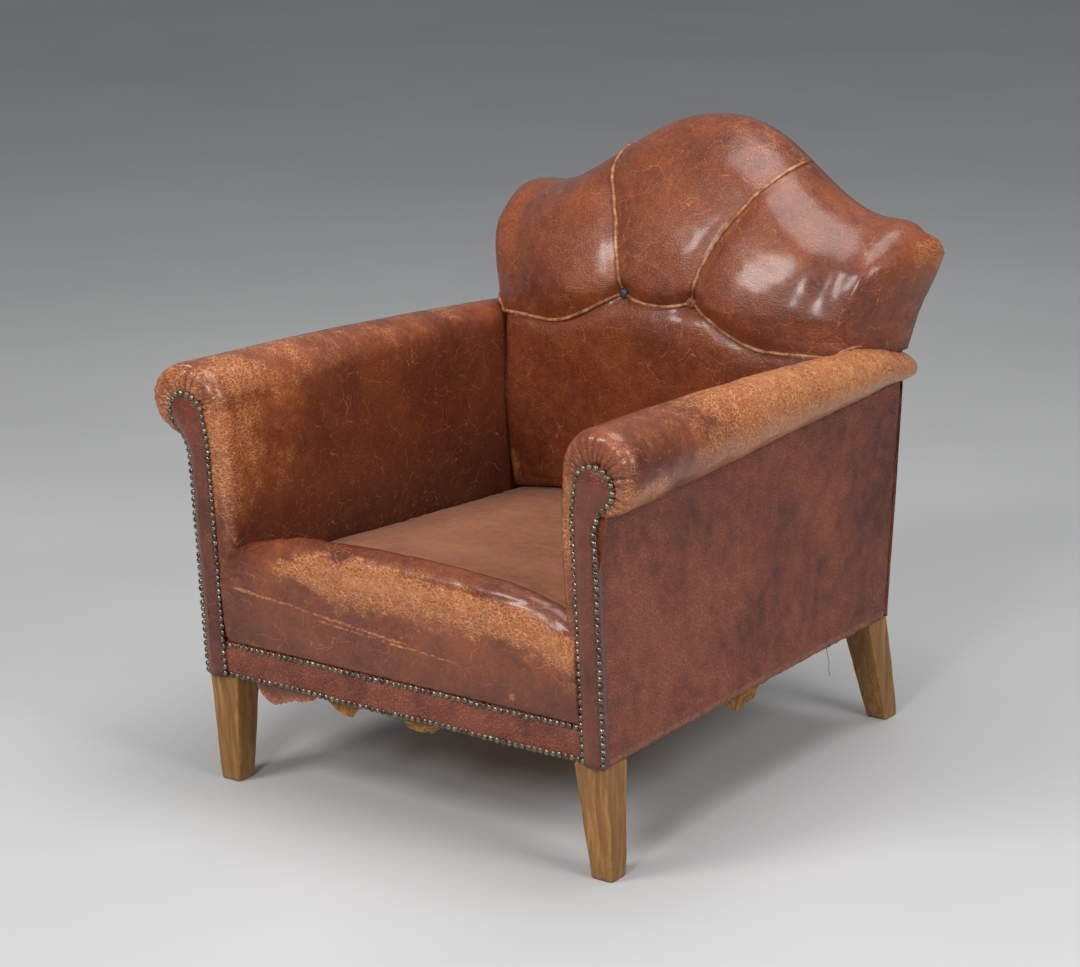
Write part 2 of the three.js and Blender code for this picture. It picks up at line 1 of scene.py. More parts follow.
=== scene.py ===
"""A worn leather club chair, dressed piece by piece over its measured frame.

Lengths in the classes below are in millimetres, as a chairmaker would write them. They become metres
when a mesh is made. The chair stands on +Z up, its front faces -Y, and left and right are as seen by a
person who stands in front of it. Pieces are laid out in an upright box and then leaned, as the real
body leans: the fronts forward a little, the back backward.
"""

from __future__ import annotations

import logging
import math
from dataclasses import dataclass
from enum import Enum
from typing import Sequence

import bpy
import numpy as np
from mathutils import Matrix, Vector


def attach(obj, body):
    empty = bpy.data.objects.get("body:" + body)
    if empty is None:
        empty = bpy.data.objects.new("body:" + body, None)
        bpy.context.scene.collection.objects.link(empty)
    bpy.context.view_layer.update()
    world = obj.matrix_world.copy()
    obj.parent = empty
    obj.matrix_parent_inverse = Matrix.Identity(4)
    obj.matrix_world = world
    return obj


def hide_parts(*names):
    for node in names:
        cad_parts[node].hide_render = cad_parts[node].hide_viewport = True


Point = tuple[float, float, float]
Array = np.ndarray
Finish = bpy.types.Material
MM = 0.001
LOG = logging.getLogger("club_chair")


# ---- Small helpers for shapes ----


def mix(a: float | Array, b: float | Array, share: float | Array) -> float | Array:
    """The value that lies a share of the way from a to b."""
    return a + (b - a) * share


def ease(low: float, high: float, value: float | Array) -> float | Array:
    """A smooth step.

    Args:
        low: The value at which the step starts.
        high: The value at which the step is done. It may be below low, for a falling step.
        value: Where to read the step.

    Returns:
        0 before the step, 1 after it.
    """
    t = np.clip((np.asarray(value, float) - low) / (high - low), 0.0, 1.0)
    return t * t * (3 - 2 * t)


def bell(value: float | Array, width: float) -> float | Array:
    """A bell curve that is 1 at zero and fades within about twice the width."""
    return np.exp(-((np.asarray(value, float) / width) ** 2))


def along(line: Sequence[tuple[float, float]], at: float | Array) -> float | Array:
    """Reads a line of (position, value) knots at a position."""
    return np.interp(at, [knot[0] for knot in line], [knot[1] for knot in line])


class Ripple:
    """Smooth repeatable unevenness: a sum of sine waves with seeded directions."""

    COUNT = 14

    def __init__(self, seed: int, size: float) -> None:
        """Sets up the waves.

        Args:
            seed: Chooses the pattern.
            size: Typical distance between two humps, in millimetres.
        """
        dice = np.random.default_rng(seed)
        directions = dice.normal(size=(self.COUNT, 3))
        directions /= np.linalg.norm(directions, axis=1)[:, None]
        self.waves = directions * (2 * math.pi / size) * dice.uniform(0.6, 1.5, (self.COUNT, 1))
        self.offsets = dice.uniform(0, 2 * math.pi, self.COUNT)

    def at(self, points: Array) -> Array:
        """Unevenness at an array of points, mostly between -1 and 1."""
        turns = np.asarray(points, float) @ self.waves.T + self.offsets
        return np.sin(turns).sum(axis=-1) / math.sqrt(self.COUNT) * 0.8


# ---- The body's lean ----


@dataclass(frozen=True)
class BodyForm:
    """The box of the chair's body and how it leans.

    Attributes hold millimetres, or millimetres of lean for each millimetre of height.
    """

    half_width: float = 333.0
    front: float = -393.0
    rear: float = 311.0
    bottom: float = 160.0
    front_lean: float = 0.041
    rear_lean: float = 0.113
    back_lean: float = 0.27
    back_bend: float = 548.0
    narrowing: float = 0.018

    def lean(self, points: Array) -> Array:
        """Moves points of the upright box to their places in the leaning body."""
        x, y, z = np.moveaxis(np.asarray(points, float), -1, 0)
        share = (y - self.front) / (self.rear - self.front)
        low = np.maximum(0, np.minimum(z, self.back_bend) - self.bottom)
        high = np.maximum(0, z - self.back_bend)
        shift = -self.front_lean * (low + high) * (1 - share)
        shift = shift + (self.rear_lean * low + self.back_lean * high) * share
        return np.stack([x * (1 - self.narrowing * share), y + shift, z], axis=-1)


BODY = BodyForm()


# ---- Making meshes ----


class Piece:
    """A named mesh of the chair that rides on the chair's one body."""

    def __init__(self, name: str, vertices: Array, faces: Sequence[Sequence[int]]) -> None:
        """Makes the object.

        Args:
            name: The object's name.
            vertices: Points in millimetres.
            faces: Corner numbers of each face.
        """
        mesh = bpy.data.meshes.new(name)
        mesh.from_pydata((np.asarray(vertices, float) * MM).tolist(), [], [list(face) for face in faces])
        mesh.validate()
        mesh.update()
        mesh.polygons.foreach_set("use_smooth", [True] * len(mesh.polygons))
        self.object = bpy.data.objects.new(name, mesh)
        bpy.context.scene.collection.objects.link(self.object)

    def outward(self) -> Piece:
        """Turns the faces of the piece outward."""
        bpy.context.view_layer.objects.active = self.object
        self.object.select_set(True)
        bpy.ops.object.mode_set(mode="EDIT")
        bpy.ops.mesh.select_all(action="SELECT")
        bpy.ops.mesh.normals_make_consistent(inside=False)
        bpy.ops.object.mode_set(mode="OBJECT")
        self.object.select_set(False)
        return self

    def mark(self, name: str, values: Array) -> Piece:
        """Stores one number for each vertex, which a finish can read by name."""
        layer = self.object.data.attributes.new(name, "FLOAT", "POINT")
        layer.data.foreach_set("value", np.clip(values, 0, 1).astype(np.float32))
        return self

    def finish(self, material: Finish, slot: str, *nodes: str) -> Piece:
        """Dresses the piece and sets it in the place of its plain solids.

        Args:
            material: The finish.
            slot: The record's material slot. It is not used.
            nodes: The solids that the piece stands for.

        Returns:
            The piece.
        """
        self.object.data.materials.append(material)
        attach(self.object, "root")
        if nodes:
            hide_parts(*nodes)
        LOG.info("%s: %d faces", self.object.name, len(self.object.data.polygons))
        return self


def shell(rings: Array, close_ring: bool = True, caps: bool = True) -> tuple[Array, list[list[int]]]:
    """Joins rings of points into one surface.

    Args:
        rings: Points as an array of (ring, point, 3).
        close_ring: Whether the last point of each ring joins the first.
        caps: Whether the first and last ring are closed with a face.

    Returns:
        The points and the faces.
    """
    rows, count = rings.shape[:2]
    reach = count if close_ring else count - 1
    faces = []
    for row in range(rows - 1):
        base = row * count
        for i in range(reach):
            after = (i + 1) % count
            faces.append([base + i, base + after, base + count + after, base + count + i])
    if caps:
        faces.append(list(range(count))[::-1])
        faces.append([(rows - 1) * count + i for i in range(count)])
    return rings.reshape(-1, 3), faces


def tube(path: Array, radius: float | Array, sides: int) -> tuple[Array, list[list[int]]]:
    """A round tube along a path, closed at both ends.

    Args:
        path: Points of the middle line.
        radius: One radius, or one for each point.
        sides: Corners of the section.

    Returns:
        The points and the faces.
    """
    path = np.asarray(path, float)
    radius = np.broadcast_to(np.asarray(radius, float), (len(path),))
    ahead = np.gradient(path, axis=0)
    ahead /= np.linalg.norm(ahead, axis=1)[:, None]
    side = np.cross(ahead[0], [0.0, 0.0, 1.0])
    if np.linalg.norm(side) < 0.1:
        side = np.cross(ahead[0], [1.0, 0.0, 0.0])
    rings = []
    for point, way, size in zip(path, ahead, radius):
        side = side - way * np.dot(side, way)
        side /= np.linalg.norm(side)
        up = np.cross(way, side)
        turn = np.linspace(0, 2 * math.pi, sides, endpoint=False)[:, None]
        rings.append(point + size * (np.cos(turn) * side + np.sin(turn) * up))
    return shell(np.array(rings))


def resample(path: Array, step: float) -> Array:
    """Points on a path, a step apart."""
    path = np.asarray(path, float)
    lengths = np.r_[0, np.cumsum(np.linalg.norm(np.diff(path, axis=0), axis=1))]
    count = max(2, round(lengths[-1] / step) + 1)
    wanted = np.linspace(0, lengths[-1], count)
    return np.stack([np.interp(wanted, lengths, path[:, i]) for i in range(3)], axis=-1)


def upright(flat: Array, y: float) -> Array:
    """Points (x, z) of a section set up at y."""
    return np.column_stack([flat[:, 0], np.full(len(flat), y), flat[:, 1]])


def surface_normals(grid: Array) -> Array:
    """Unit normals of a grid of points (row, point, 3)."""
    normal = np.cross(np.gradient(grid, axis=0), np.gradient(grid, axis=1))
    return normal / np.maximum(1e-9, np.linalg.norm(normal, axis=-1))[..., None]


def smoothed(values: Array, passes: int) -> Array:
    """Softens a line of points by averaging each with its neighbours.

    Args:
        values: Points as an array of (point, ...).
        passes: How many times to average.

    Returns:
        The softened points, with both ends where they were.
    """
    values = np.array(values, float)
    for _ in range(passes):
        values[1:-1] = (values[:-2] + 2 * values[1:-1] + values[2:]) / 4
    return values


# ---- Arms ----


class Side(Enum):
    """One side of the chair, as seen from the front."""

    LEFT = -1
    RIGHT = 1

    @property
    def word(self) -> str:
        """The side's name in lower case."""
        return self.name.lower()

    def place(self, points: Array) -> Array:
        """Puts points laid out for the right-hand side on this side."""
        placed = np.array(points, float)
        placed[..., 0] *= self.value
        return placed


@dataclass(frozen=True)
class FacingForm:
    """The nailed strip over the front of an arm: a straight band that ends in a round head.

    The shoulder is the height at which the band starts to widen into its head.
    """

    inner: float = 300.0
    outer: float = 331.0
    shoulder: float = 478.0
    head_x: float = 334.0
    head_z: float = 530.0
    head: float = 28.0
    foot: float = 164.0
    proud: float = 3.5

    def nail_line(self, grow: float) -> Array:
        """The line of nails as (x, z), from the inner foot round the head to the outer foot.

        Args:
            grow: How far outside the nails the line runs.

        Returns:
            The points of the line.
        """
        turn = np.linspace(math.pi * 1.04, -math.pi * 0.42, 34)
        radius = self.head + grow
        arc = np.stack([self.head_x + radius * np.cos(turn), self.head_z + radius * np.sin(turn)], axis=-1)
        up = [(self.inner - grow, z) for z in np.linspace(self.foot, self.shoulder + 28, 40)]
        down = [(self.outer + 2 + grow, self.shoulder + 14 - grow)]
        down += [(self.outer + grow, z) for z in np.linspace(self.shoulder, self.foot, 38)]
        return smoothed(np.array([*up, *arc, *down]), 3)

    def spine(self, z: Array) -> Array:
        """The middle line of the strip as (x, z) for heights z."""
        straight = (self.inner + self.outer) / 2
        x = mix(straight, self.head_x, ease(self.shoulder, self.head_z, z))
        return np.stack([x, np.minimum(z, self.head_z)], axis=-1)


@dataclass(frozen=True)
class ArmForm:
    """The padded inside arm and the roll on top of it.

    A pair of numbers gives a size at the front of the arm and at its rear. The waist is the height at
    which the inside of the arm is narrowest.
    """

    rear: float = 300.0
    slab: float = 303.0
    bottom: float = 257.0
    waist: float = 440.0
    inside: tuple[float, float] = (269.5, 279.5)
    foot_flare: float = 11.0
    roll_outside: tuple[float, float] = (395.0, 356.0)
    roll_reach: tuple[float, float] = (59.0, 35.0)
    roll_underside: tuple[float, float] = (490.0, 499.0)
    ridge: tuple[tuple[float, float], ...] = (
        (-395, 604), (-330, 602), (-200, 596), (-60, 587), (60, 577), (200, 563), (255, 555), (310, 536),
    )
    round_front: float = 22.0

    def backward(self, y: float | Array) -> float | Array:
        """How far back y lies: 0 at the front of the arm and 1 at its rear."""
        return (y - BODY.front) / (self.rear - BODY.front)

    def sizes(self, y: float) -> tuple[float, float, float, float]:
        """Middle and reach of the roll at y, as (middle x, middle z, reach in x, reach in z)."""
        share = self.backward(y)
        top, low = float(along(self.ridge, y)), mix(*self.roll_underside, share)
        reach = mix(*self.roll_reach, share)
        return mix(*self.roll_outside, share) - reach, (top + low) / 2, reach, (top - low) / 2

    def roll_top(self, x: float | Array, y: float) -> float | Array:
        """Height of the top of the roll at x."""
        middle_x, middle_z, reach_x, reach_z = self.sizes(y)
        across = np.clip((np.abs(x) - middle_x) / reach_x, -0.98, 0.98)
        return middle_z + reach_z * np.sqrt(1 - across**2)

    def section(self, y: float) -> Array:
        """The arm's section at y as points (x, z).

        Args:
            y: Where the arm is cut.

        Returns:
            Points from the foot of the hidden side up, over the roll and down the inside.
        """
        middle_x, middle_z, reach_x, reach_z = self.sizes(y)
        start = math.pi + math.acos(min(0.95, (middle_x - self.slab) / reach_x))
        turn = np.linspace(start - 2 * math.pi, math.pi, 96)
        arc = np.stack([middle_x + reach_x * np.cos(turn), middle_z + reach_z * np.sin(turn)], axis=-1)
        hidden = np.array([(self.slab, self.bottom), (self.slab, 330), (self.slab, 420)])
        z = np.linspace(middle_z - 8, self.bottom, 46)
        narrow = mix(*self.inside, self.backward(y))
        join = middle_x - reach_x - narrow
        above = join * ((z - self.waist) / (middle_z - self.waist)) ** 2
        below = self.foot_flare * ((self.waist - z) / (self.waist - self.bottom)) ** 2
        inside = np.stack([narrow + np.where(z > self.waist, above, below), z], axis=-1)
        ring = np.concatenate([hidden, arc, inside])
        ring[4:-1] = smoothed(ring[3:], 6)[1:-1]
        return ring


FACING = FacingForm()
ARM = ArmForm()


@dataclass(frozen=True)
class ArmWear:
    """How one arm has aged.

    Attributes:
        seed: Chooses its unevenness.
        pale_ridge: How rubbed the roll is, as (y, share) knots.
        pale_inside: How rubbed the inside is, as (y, share) knots.
        creases: Creases over the roll, as (y, depth, lean).
        facing_creases: Dents across the facing, as (height, lean).
        outer_patch: A rubbed patch on the outside of the roll, as (y, size, strength).
        sunk: How far the roll has sunk.
        spread: How far it bulges outward at the front.
    """

    seed: int
    pale_ridge: tuple[tuple[float, float], ...]
    pale_inside: tuple[tuple[float, float], ...]
    creases: tuple[tuple[float, float, float], ...]
    facing_creases: tuple[tuple[float, float], ...]
    outer_patch: tuple[float, float, float] = (-350.0, 40.0, 0.0)
    sunk: float = 0.0
    spread: float = 0.0


@dataclass
class Arm:
    """One padded arm with its front gathers, facing strip and nails.

    Gathers are set out round the head of the facing, in degrees, and die out behind the front face.
    """

    side: Side
    wear: ArmWear
    rows: int = 170
    pad_rear: float = 304.6
    gathers: int = 19
    gather_depth: float = 2.3
    gather_start: float = -72.0
    gather_sweep: float = 262.0
    gather_end: float = 80.0
    crease_height: float = 560.0
    tucked: float = 5.0
    facing_rise: float = 8.5

    def build(self, hide: Finish, facing_hide: Finish, brass: Finish) -> None:
        """Makes the arm's three pieces.

        Args:
            hide: Finish of the padded arm.
            facing_hide: Finish of the strip over its front.
            brass: Finish of the nails.
        """
        self.make_pad(hide)
        self.make_facing(facing_hide)
        self.make_nails(brass)

    def rings(self) -> tuple[Array, Array, Array]:
        """Rings of the padded arm, from under the facing back to the rear.

        Returns:
            The rings, how far each point lies from the front face along the leather, and how far round
            the roll it lies (0 at the underside, 1 at the foot of the inside).
        """
        radius = ARM.round_front
        rim = ARM.section(BODY.front + radius)
        line = FACING.nail_line(-self.tucked)
        gap = rim[:, None, :] - line[None, :, :]
        target = line[np.argmin((gap**2).sum(axis=-1), axis=1)]
        middle = np.array(ARM.sizes(BODY.front)[:2])
        inward = middle - rim
        inward[:, 1] = np.where(rim[:, 1] < middle[1] - 20, 0, inward[:, 1])
        inward /= np.maximum(1e-6, np.linalg.norm(inward, axis=1))[:, None]
        turned_in = inward * radius * 0.8
        rings, run = [], []
        for share in np.linspace(1, 0, 16, endpoint=False):
            y = BODY.front + 1 + 2.2 * share**2 - 2.5 * np.sin(math.pi * share)
            rings.append(upright(mix(rim + turned_in, target, share), y))
            run.append(-60 * share)
        for turn in np.linspace(math.pi / 2, 0, 12, endpoint=False):
            y = BODY.front + radius - (radius - 1) * math.sin(turn)
            rings.append(upright(rim + turned_in * (1 - math.cos(turn)), y))
            run.append(radius - radius * turn / (math.pi / 2) * 1.2)
        for y in np.linspace(BODY.front + radius, self.pad_rear, self.rows):
            rings.append(upright(ARM.section(y), y))
            run.append(y - BODY.front)
        grid = np.array(rings)
        run_grid = np.repeat(np.array(run)[:, None], grid.shape[1], axis=1)
        turn_grid = np.repeat(np.linspace(0, 1, grid.shape[1])[None, :], len(rings), axis=0)
        return grid, run_grid, turn_grid

    def gather_folds(self, plain: Array, run: Array) -> Array:
        """The small folds where the hide is gathered round the head of the facing.

        Args:
            plain: Points of the smooth pad.
            run: How far each one lies from the front face along the leather.

        Returns:
            The height of the folds, in which a valley is negative.
        """
        angle = np.arctan2(plain[..., 2] - FACING.head_z - 10, plain[..., 0] - FACING.head_x)
        dice = np.random.default_rng(self.wear.seed)
        pitch = math.radians(self.gather_sweep) / self.gathers
        fold = np.zeros_like(run)
        for k in range(self.gathers):
            at = math.radians(self.gather_start) + (k + dice.uniform(-0.25, 0.25)) * pitch
            reach = dice.uniform(10, 44)
            off = np.angle(np.exp(1j * (angle - at)))
            spread = 0.055 + 0.02 * dice.uniform()
            fold -= dice.uniform(0.7, 1.3) * bell(off, spread) * ease(reach, reach * 0.2 - 26, run)
            fold += 0.45 * bell(off - 0.085, spread) * ease(reach, -26, run)
        return fold * (run < self.gather_end)

    def make_pad(self, hide: Finish) -> None:
        """The padded inside arm and its roll, gathered over the front and creased by use."""
        plain, run, turn = self.rings()
        fold = self.gather_folds(plain, run)
        x, y, z = np.moveaxis(plain, -1, 0)
        lift = 0.9 * Ripple(self.wear.seed, 120).at(plain) * ease(20, 90, run)
        lift += 0.25 * Ripple(self.wear.seed + 1, 34).at(plain)
        lift += self.gather_depth * fold * ease(FACING.shoulder, FACING.shoulder + 34, z)
        lift -= 2.2 * bell(x - 291, 3.2) * ease(10, -14, run) * ease(505, 470, z)
        for at_y, depth, lean in self.wear.creases:
            over = y - at_y - lean * (z - self.crease_height) - 3 * np.sin(z / 9.0 + at_y)
            crease = 0.5 * bell(over - 7, 5) - bell(over, 2.6)
            lift += depth * crease * ease(self.crease_height - 48, self.crease_height, z)
        lift *= ease(0.02, 0.06, turn) * ease(1.0, 0.985, turn)
        normal = surface_normals(plain)
        if (normal * (plain - plain.mean(axis=(0, 1)))).sum() < 0:
            normal = -normal
        rings = plain + normal * lift[..., None]
        rings[..., 2] -= self.wear.sunk * ease(490, 590, z)
        rings[..., 0] += self.wear.spread * ease(335, 385, x) * ease(470, 520, z) * ease(260, 0, y)
        under_facing = (rings[..., 0] > 302) & (rings[..., 0] < 330) & (rings[..., 2] < 500) & (run < 6)
        rings[..., 1] = np.where(under_facing, np.maximum(rings[..., 1], BODY.front + 4), rings[..., 1])
        points, faces = shell(self.side.place(BODY.lean(rings)))
        piece = Piece(f"arm_pad_leather_{self.side.word}", points, faces).outward()
        self.mark_pad(piece, plain, run, fold)
        piece.finish(hide, "leather", f"arm_pad_{self.side.word}")

    def mark_pad(self, piece: Piece, plain: Array, run: Array, fold: Array) -> None:
        """Stores where the pad is rubbed pale, and where painted shade darkens it.

        Args:
            piece: The pad.
            plain: Points of the smooth pad.
            run: How far each one lies from the front face along the leather.
            fold: The height of the gathers.
        """
        x, y, z = np.moveaxis(plain, -1, 0)
        top = np.maximum(ease(500, 585, z), ease(298, 335, x))
        inside = ease(300, 276, x) * ease(585, 540, z)
        pale = along(self.wear.pale_ridge, y) * top
        pale = pale + along(self.wear.pale_inside, y) * (1 - top) * ease(300, 470, z)
        rim = 0.3 * bell(run - 4, 15)
        at_y, size, strength = self.wear.outer_patch
        patch = strength * bell(np.hypot((y - at_y) / size, (z - 512) / 26), 1) * (x > 352)
        piece.mark("pale", np.maximum(np.maximum(pale, rim), patch).ravel())
        # painted shade: low on the inside of the arm, more towards its rear, and in the valleys of the
        # gathers
        deep = 0.75 * ease(460, 280, z) * inside + 0.45 * ease(-300, -160, y) * inside
        piece.mark("deep", (deep + 0.95 * ease(0.3, 1.0, -fold)).ravel())

    def make_facing(self, hide: Finish) -> None:
        """The convex strip over the front of the arm."""
        line = FACING.nail_line(2.0)
        line[0, 1] = line[-1, 1] = BODY.bottom
        spine = FACING.spine(line[:, 1])
        rim = BODY.front - FACING.proud + 3.0
        rows = [upright(line, BODY.front + 9.5)]
        for share in np.linspace(0, 0.93, 11):
            rise = self.facing_rise * math.sin(math.pi / 2 * share) ** 0.8
            rows.append(upright(mix(line, spine, share), rim - rise))
        rings = np.array(rows)
        x, z = rings[..., 0], rings[..., 2]
        dent = 0.5 * Ripple(self.wear.seed + 5, 60).at(rings)
        for at, lean in self.wear.facing_creases:
            dent += 1.1 * bell(z - at - lean * (x - 315), 2.4)
        rings[1:, :, 1] += dent[1:] * 0.8
        points, faces = shell(self.side.place(BODY.lean(rings)))
        piece = Piece(f"arm_facing_leather_{self.side.word}", points, faces).outward()
        piece.mark("pale", 0.08 * bell(rings[..., 1] - rings[..., 1].min(), 2.2).ravel())
        piece.mark("deep", np.zeros(len(points)))
        piece.finish(hide, "leather", f"arm_facing_{self.side.word}")

    def make_nails(self, brass: Finish) -> None:
        """The row of domed nails round the facing."""
        y = BODY.front - FACING.proud + 1.0
        foot = [(FACING.outer - 10, y, FACING.foot - 0.5), (FACING.outer - 21, y, FACING.foot)]
        path = np.concatenate([upright(FACING.nail_line(0), y), np.array(foot)])
        green = ease(470, 530, path[:, 2])
        nails = NailRow(f"facing_nail_heads_{self.side.word}", self.wear.seed)
        nails.build(self.side.place(BODY.lean(path)), green, brass, f"facing_nails_{self.side.word}")


@dataclass
class NailRow:
    """A row of upholstery nails with domed heads.

    The dome is given as (height, reach) knots, in shares of the height and of the head's radius.
    """

    name: str
    seed: int
    head: float = 4.3
    height: float = 3.1
    pitch: float = 9.9
    facets: int = 12
    dome: tuple[tuple[float, float], ...] = (
        (-0.6, 0.98), (0.15, 1.0), (0.55, 0.86), (0.85, 0.55), (0.97, 0.25),
    )

    def build(self, path: Array, green: Array, brass: Finish, node: str) -> None:
        """Sets the nails along a path.

        Args:
            path: The line of the heads' rims, in millimetres.
            green: How tarnished the nails are at each point of the path.
            brass: The finish of the heads.
            node: The plain strip that the row stands for.
        """
        lengths = np.r_[0, np.cumsum(np.linalg.norm(np.diff(path, axis=0), axis=1))]
        spots = resample(path, self.pitch)
        tarnish = np.interp(np.linspace(0, lengths[-1], len(spots)), lengths, green)
        dice = np.random.default_rng(self.seed + 40)
        points, faces, marks = [], [], []
        for spot, dull in zip(spots, tarnish):
            faces += self.head_faces(len(points))
            points += self.head_points(spot + dice.normal(0, 0.35, 3) * (1, 0, 1), dice)
            marks += [dull] * (len(points) - len(marks))
        piece = Piece(self.name, np.array(points), faces).outward()
        piece.mark("green", np.array(marks))
        piece.finish(brass, "nail_brass", node)

    def head_points(self, spot: Array, dice: np.random.Generator) -> list[Point]:
        """Points of one slightly crooked head: its rings from the rim up, then its tip."""
        tilt = dice.normal(0, 0.09, 2)
        size = self.head * dice.uniform(0.94, 1.04)
        points = []
        for lift, reach in self.dome:
            for k in range(self.facets):
                turn = 2 * math.pi * k / self.facets
                x, z = size * reach * math.cos(turn), size * reach * math.sin(turn)
                y = -self.height * lift + tilt[0] * x + tilt[1] * z
                points.append((spot[0] + x, spot[1] + y, spot[2] + z))
        return [*points, (spot[0], spot[1] - self.height, spot[2])]

    def head_faces(self, base: int) -> list[list[int]]:
        """Faces of one head whose first point has the number base."""
        count, tip = self.facets, base + len(self.dome) * self.facets
        faces = [[base + k for k in range(count)][::-1]]
        for k in range(count):
            after = (k + 1) % count
            for low in range(base, tip - count, count):
                faces.append([low + k, low + after, low + count + after, low + count + k])
            faces.append([tip - count + k, tip - count + after, tip])
        return faces


# ---- Seat ----


@dataclass(frozen=True)
class SeatForm:
    """The deck, which has lost its loose cushion, and the leather roll along its front edge.

    A pair of deck heights is for the front and the rear of the deck.
    """

    lip_top: float = 380.0
    lip_drop: float = 37.0
    half_lip: float = 284.0
    border_top: float = 211.0
    half_deck: float = 279.0
    deck_front: float = -344.0
    deck_rear: float = 257.0
    deck_under: float = 257.0
    deck_sides: tuple[float, float] = (309.0, 272.0)
    deck_middle: tuple[float, float] = (352.0, 292.0)

    def deck_top(self, x: Array, y: Array) -> Array:
        """Height of the deck's cloth."""
        crown = 1 - np.clip(np.abs(np.asarray(x) / 285), 0, 1) ** 2.4
        rear = (np.asarray(y) + 345) / 600
        return mix(mix(*self.deck_sides, rear), mix(*self.deck_middle, rear), crown)

    def lip(self, x: Array) -> Array:
        """Height of the roll along the front edge."""
        return self.lip_top - self.lip_drop * np.clip(np.abs(np.asarray(x) / self.half_lip), 0, 1) ** 3.4


SEAT = SeatForm()


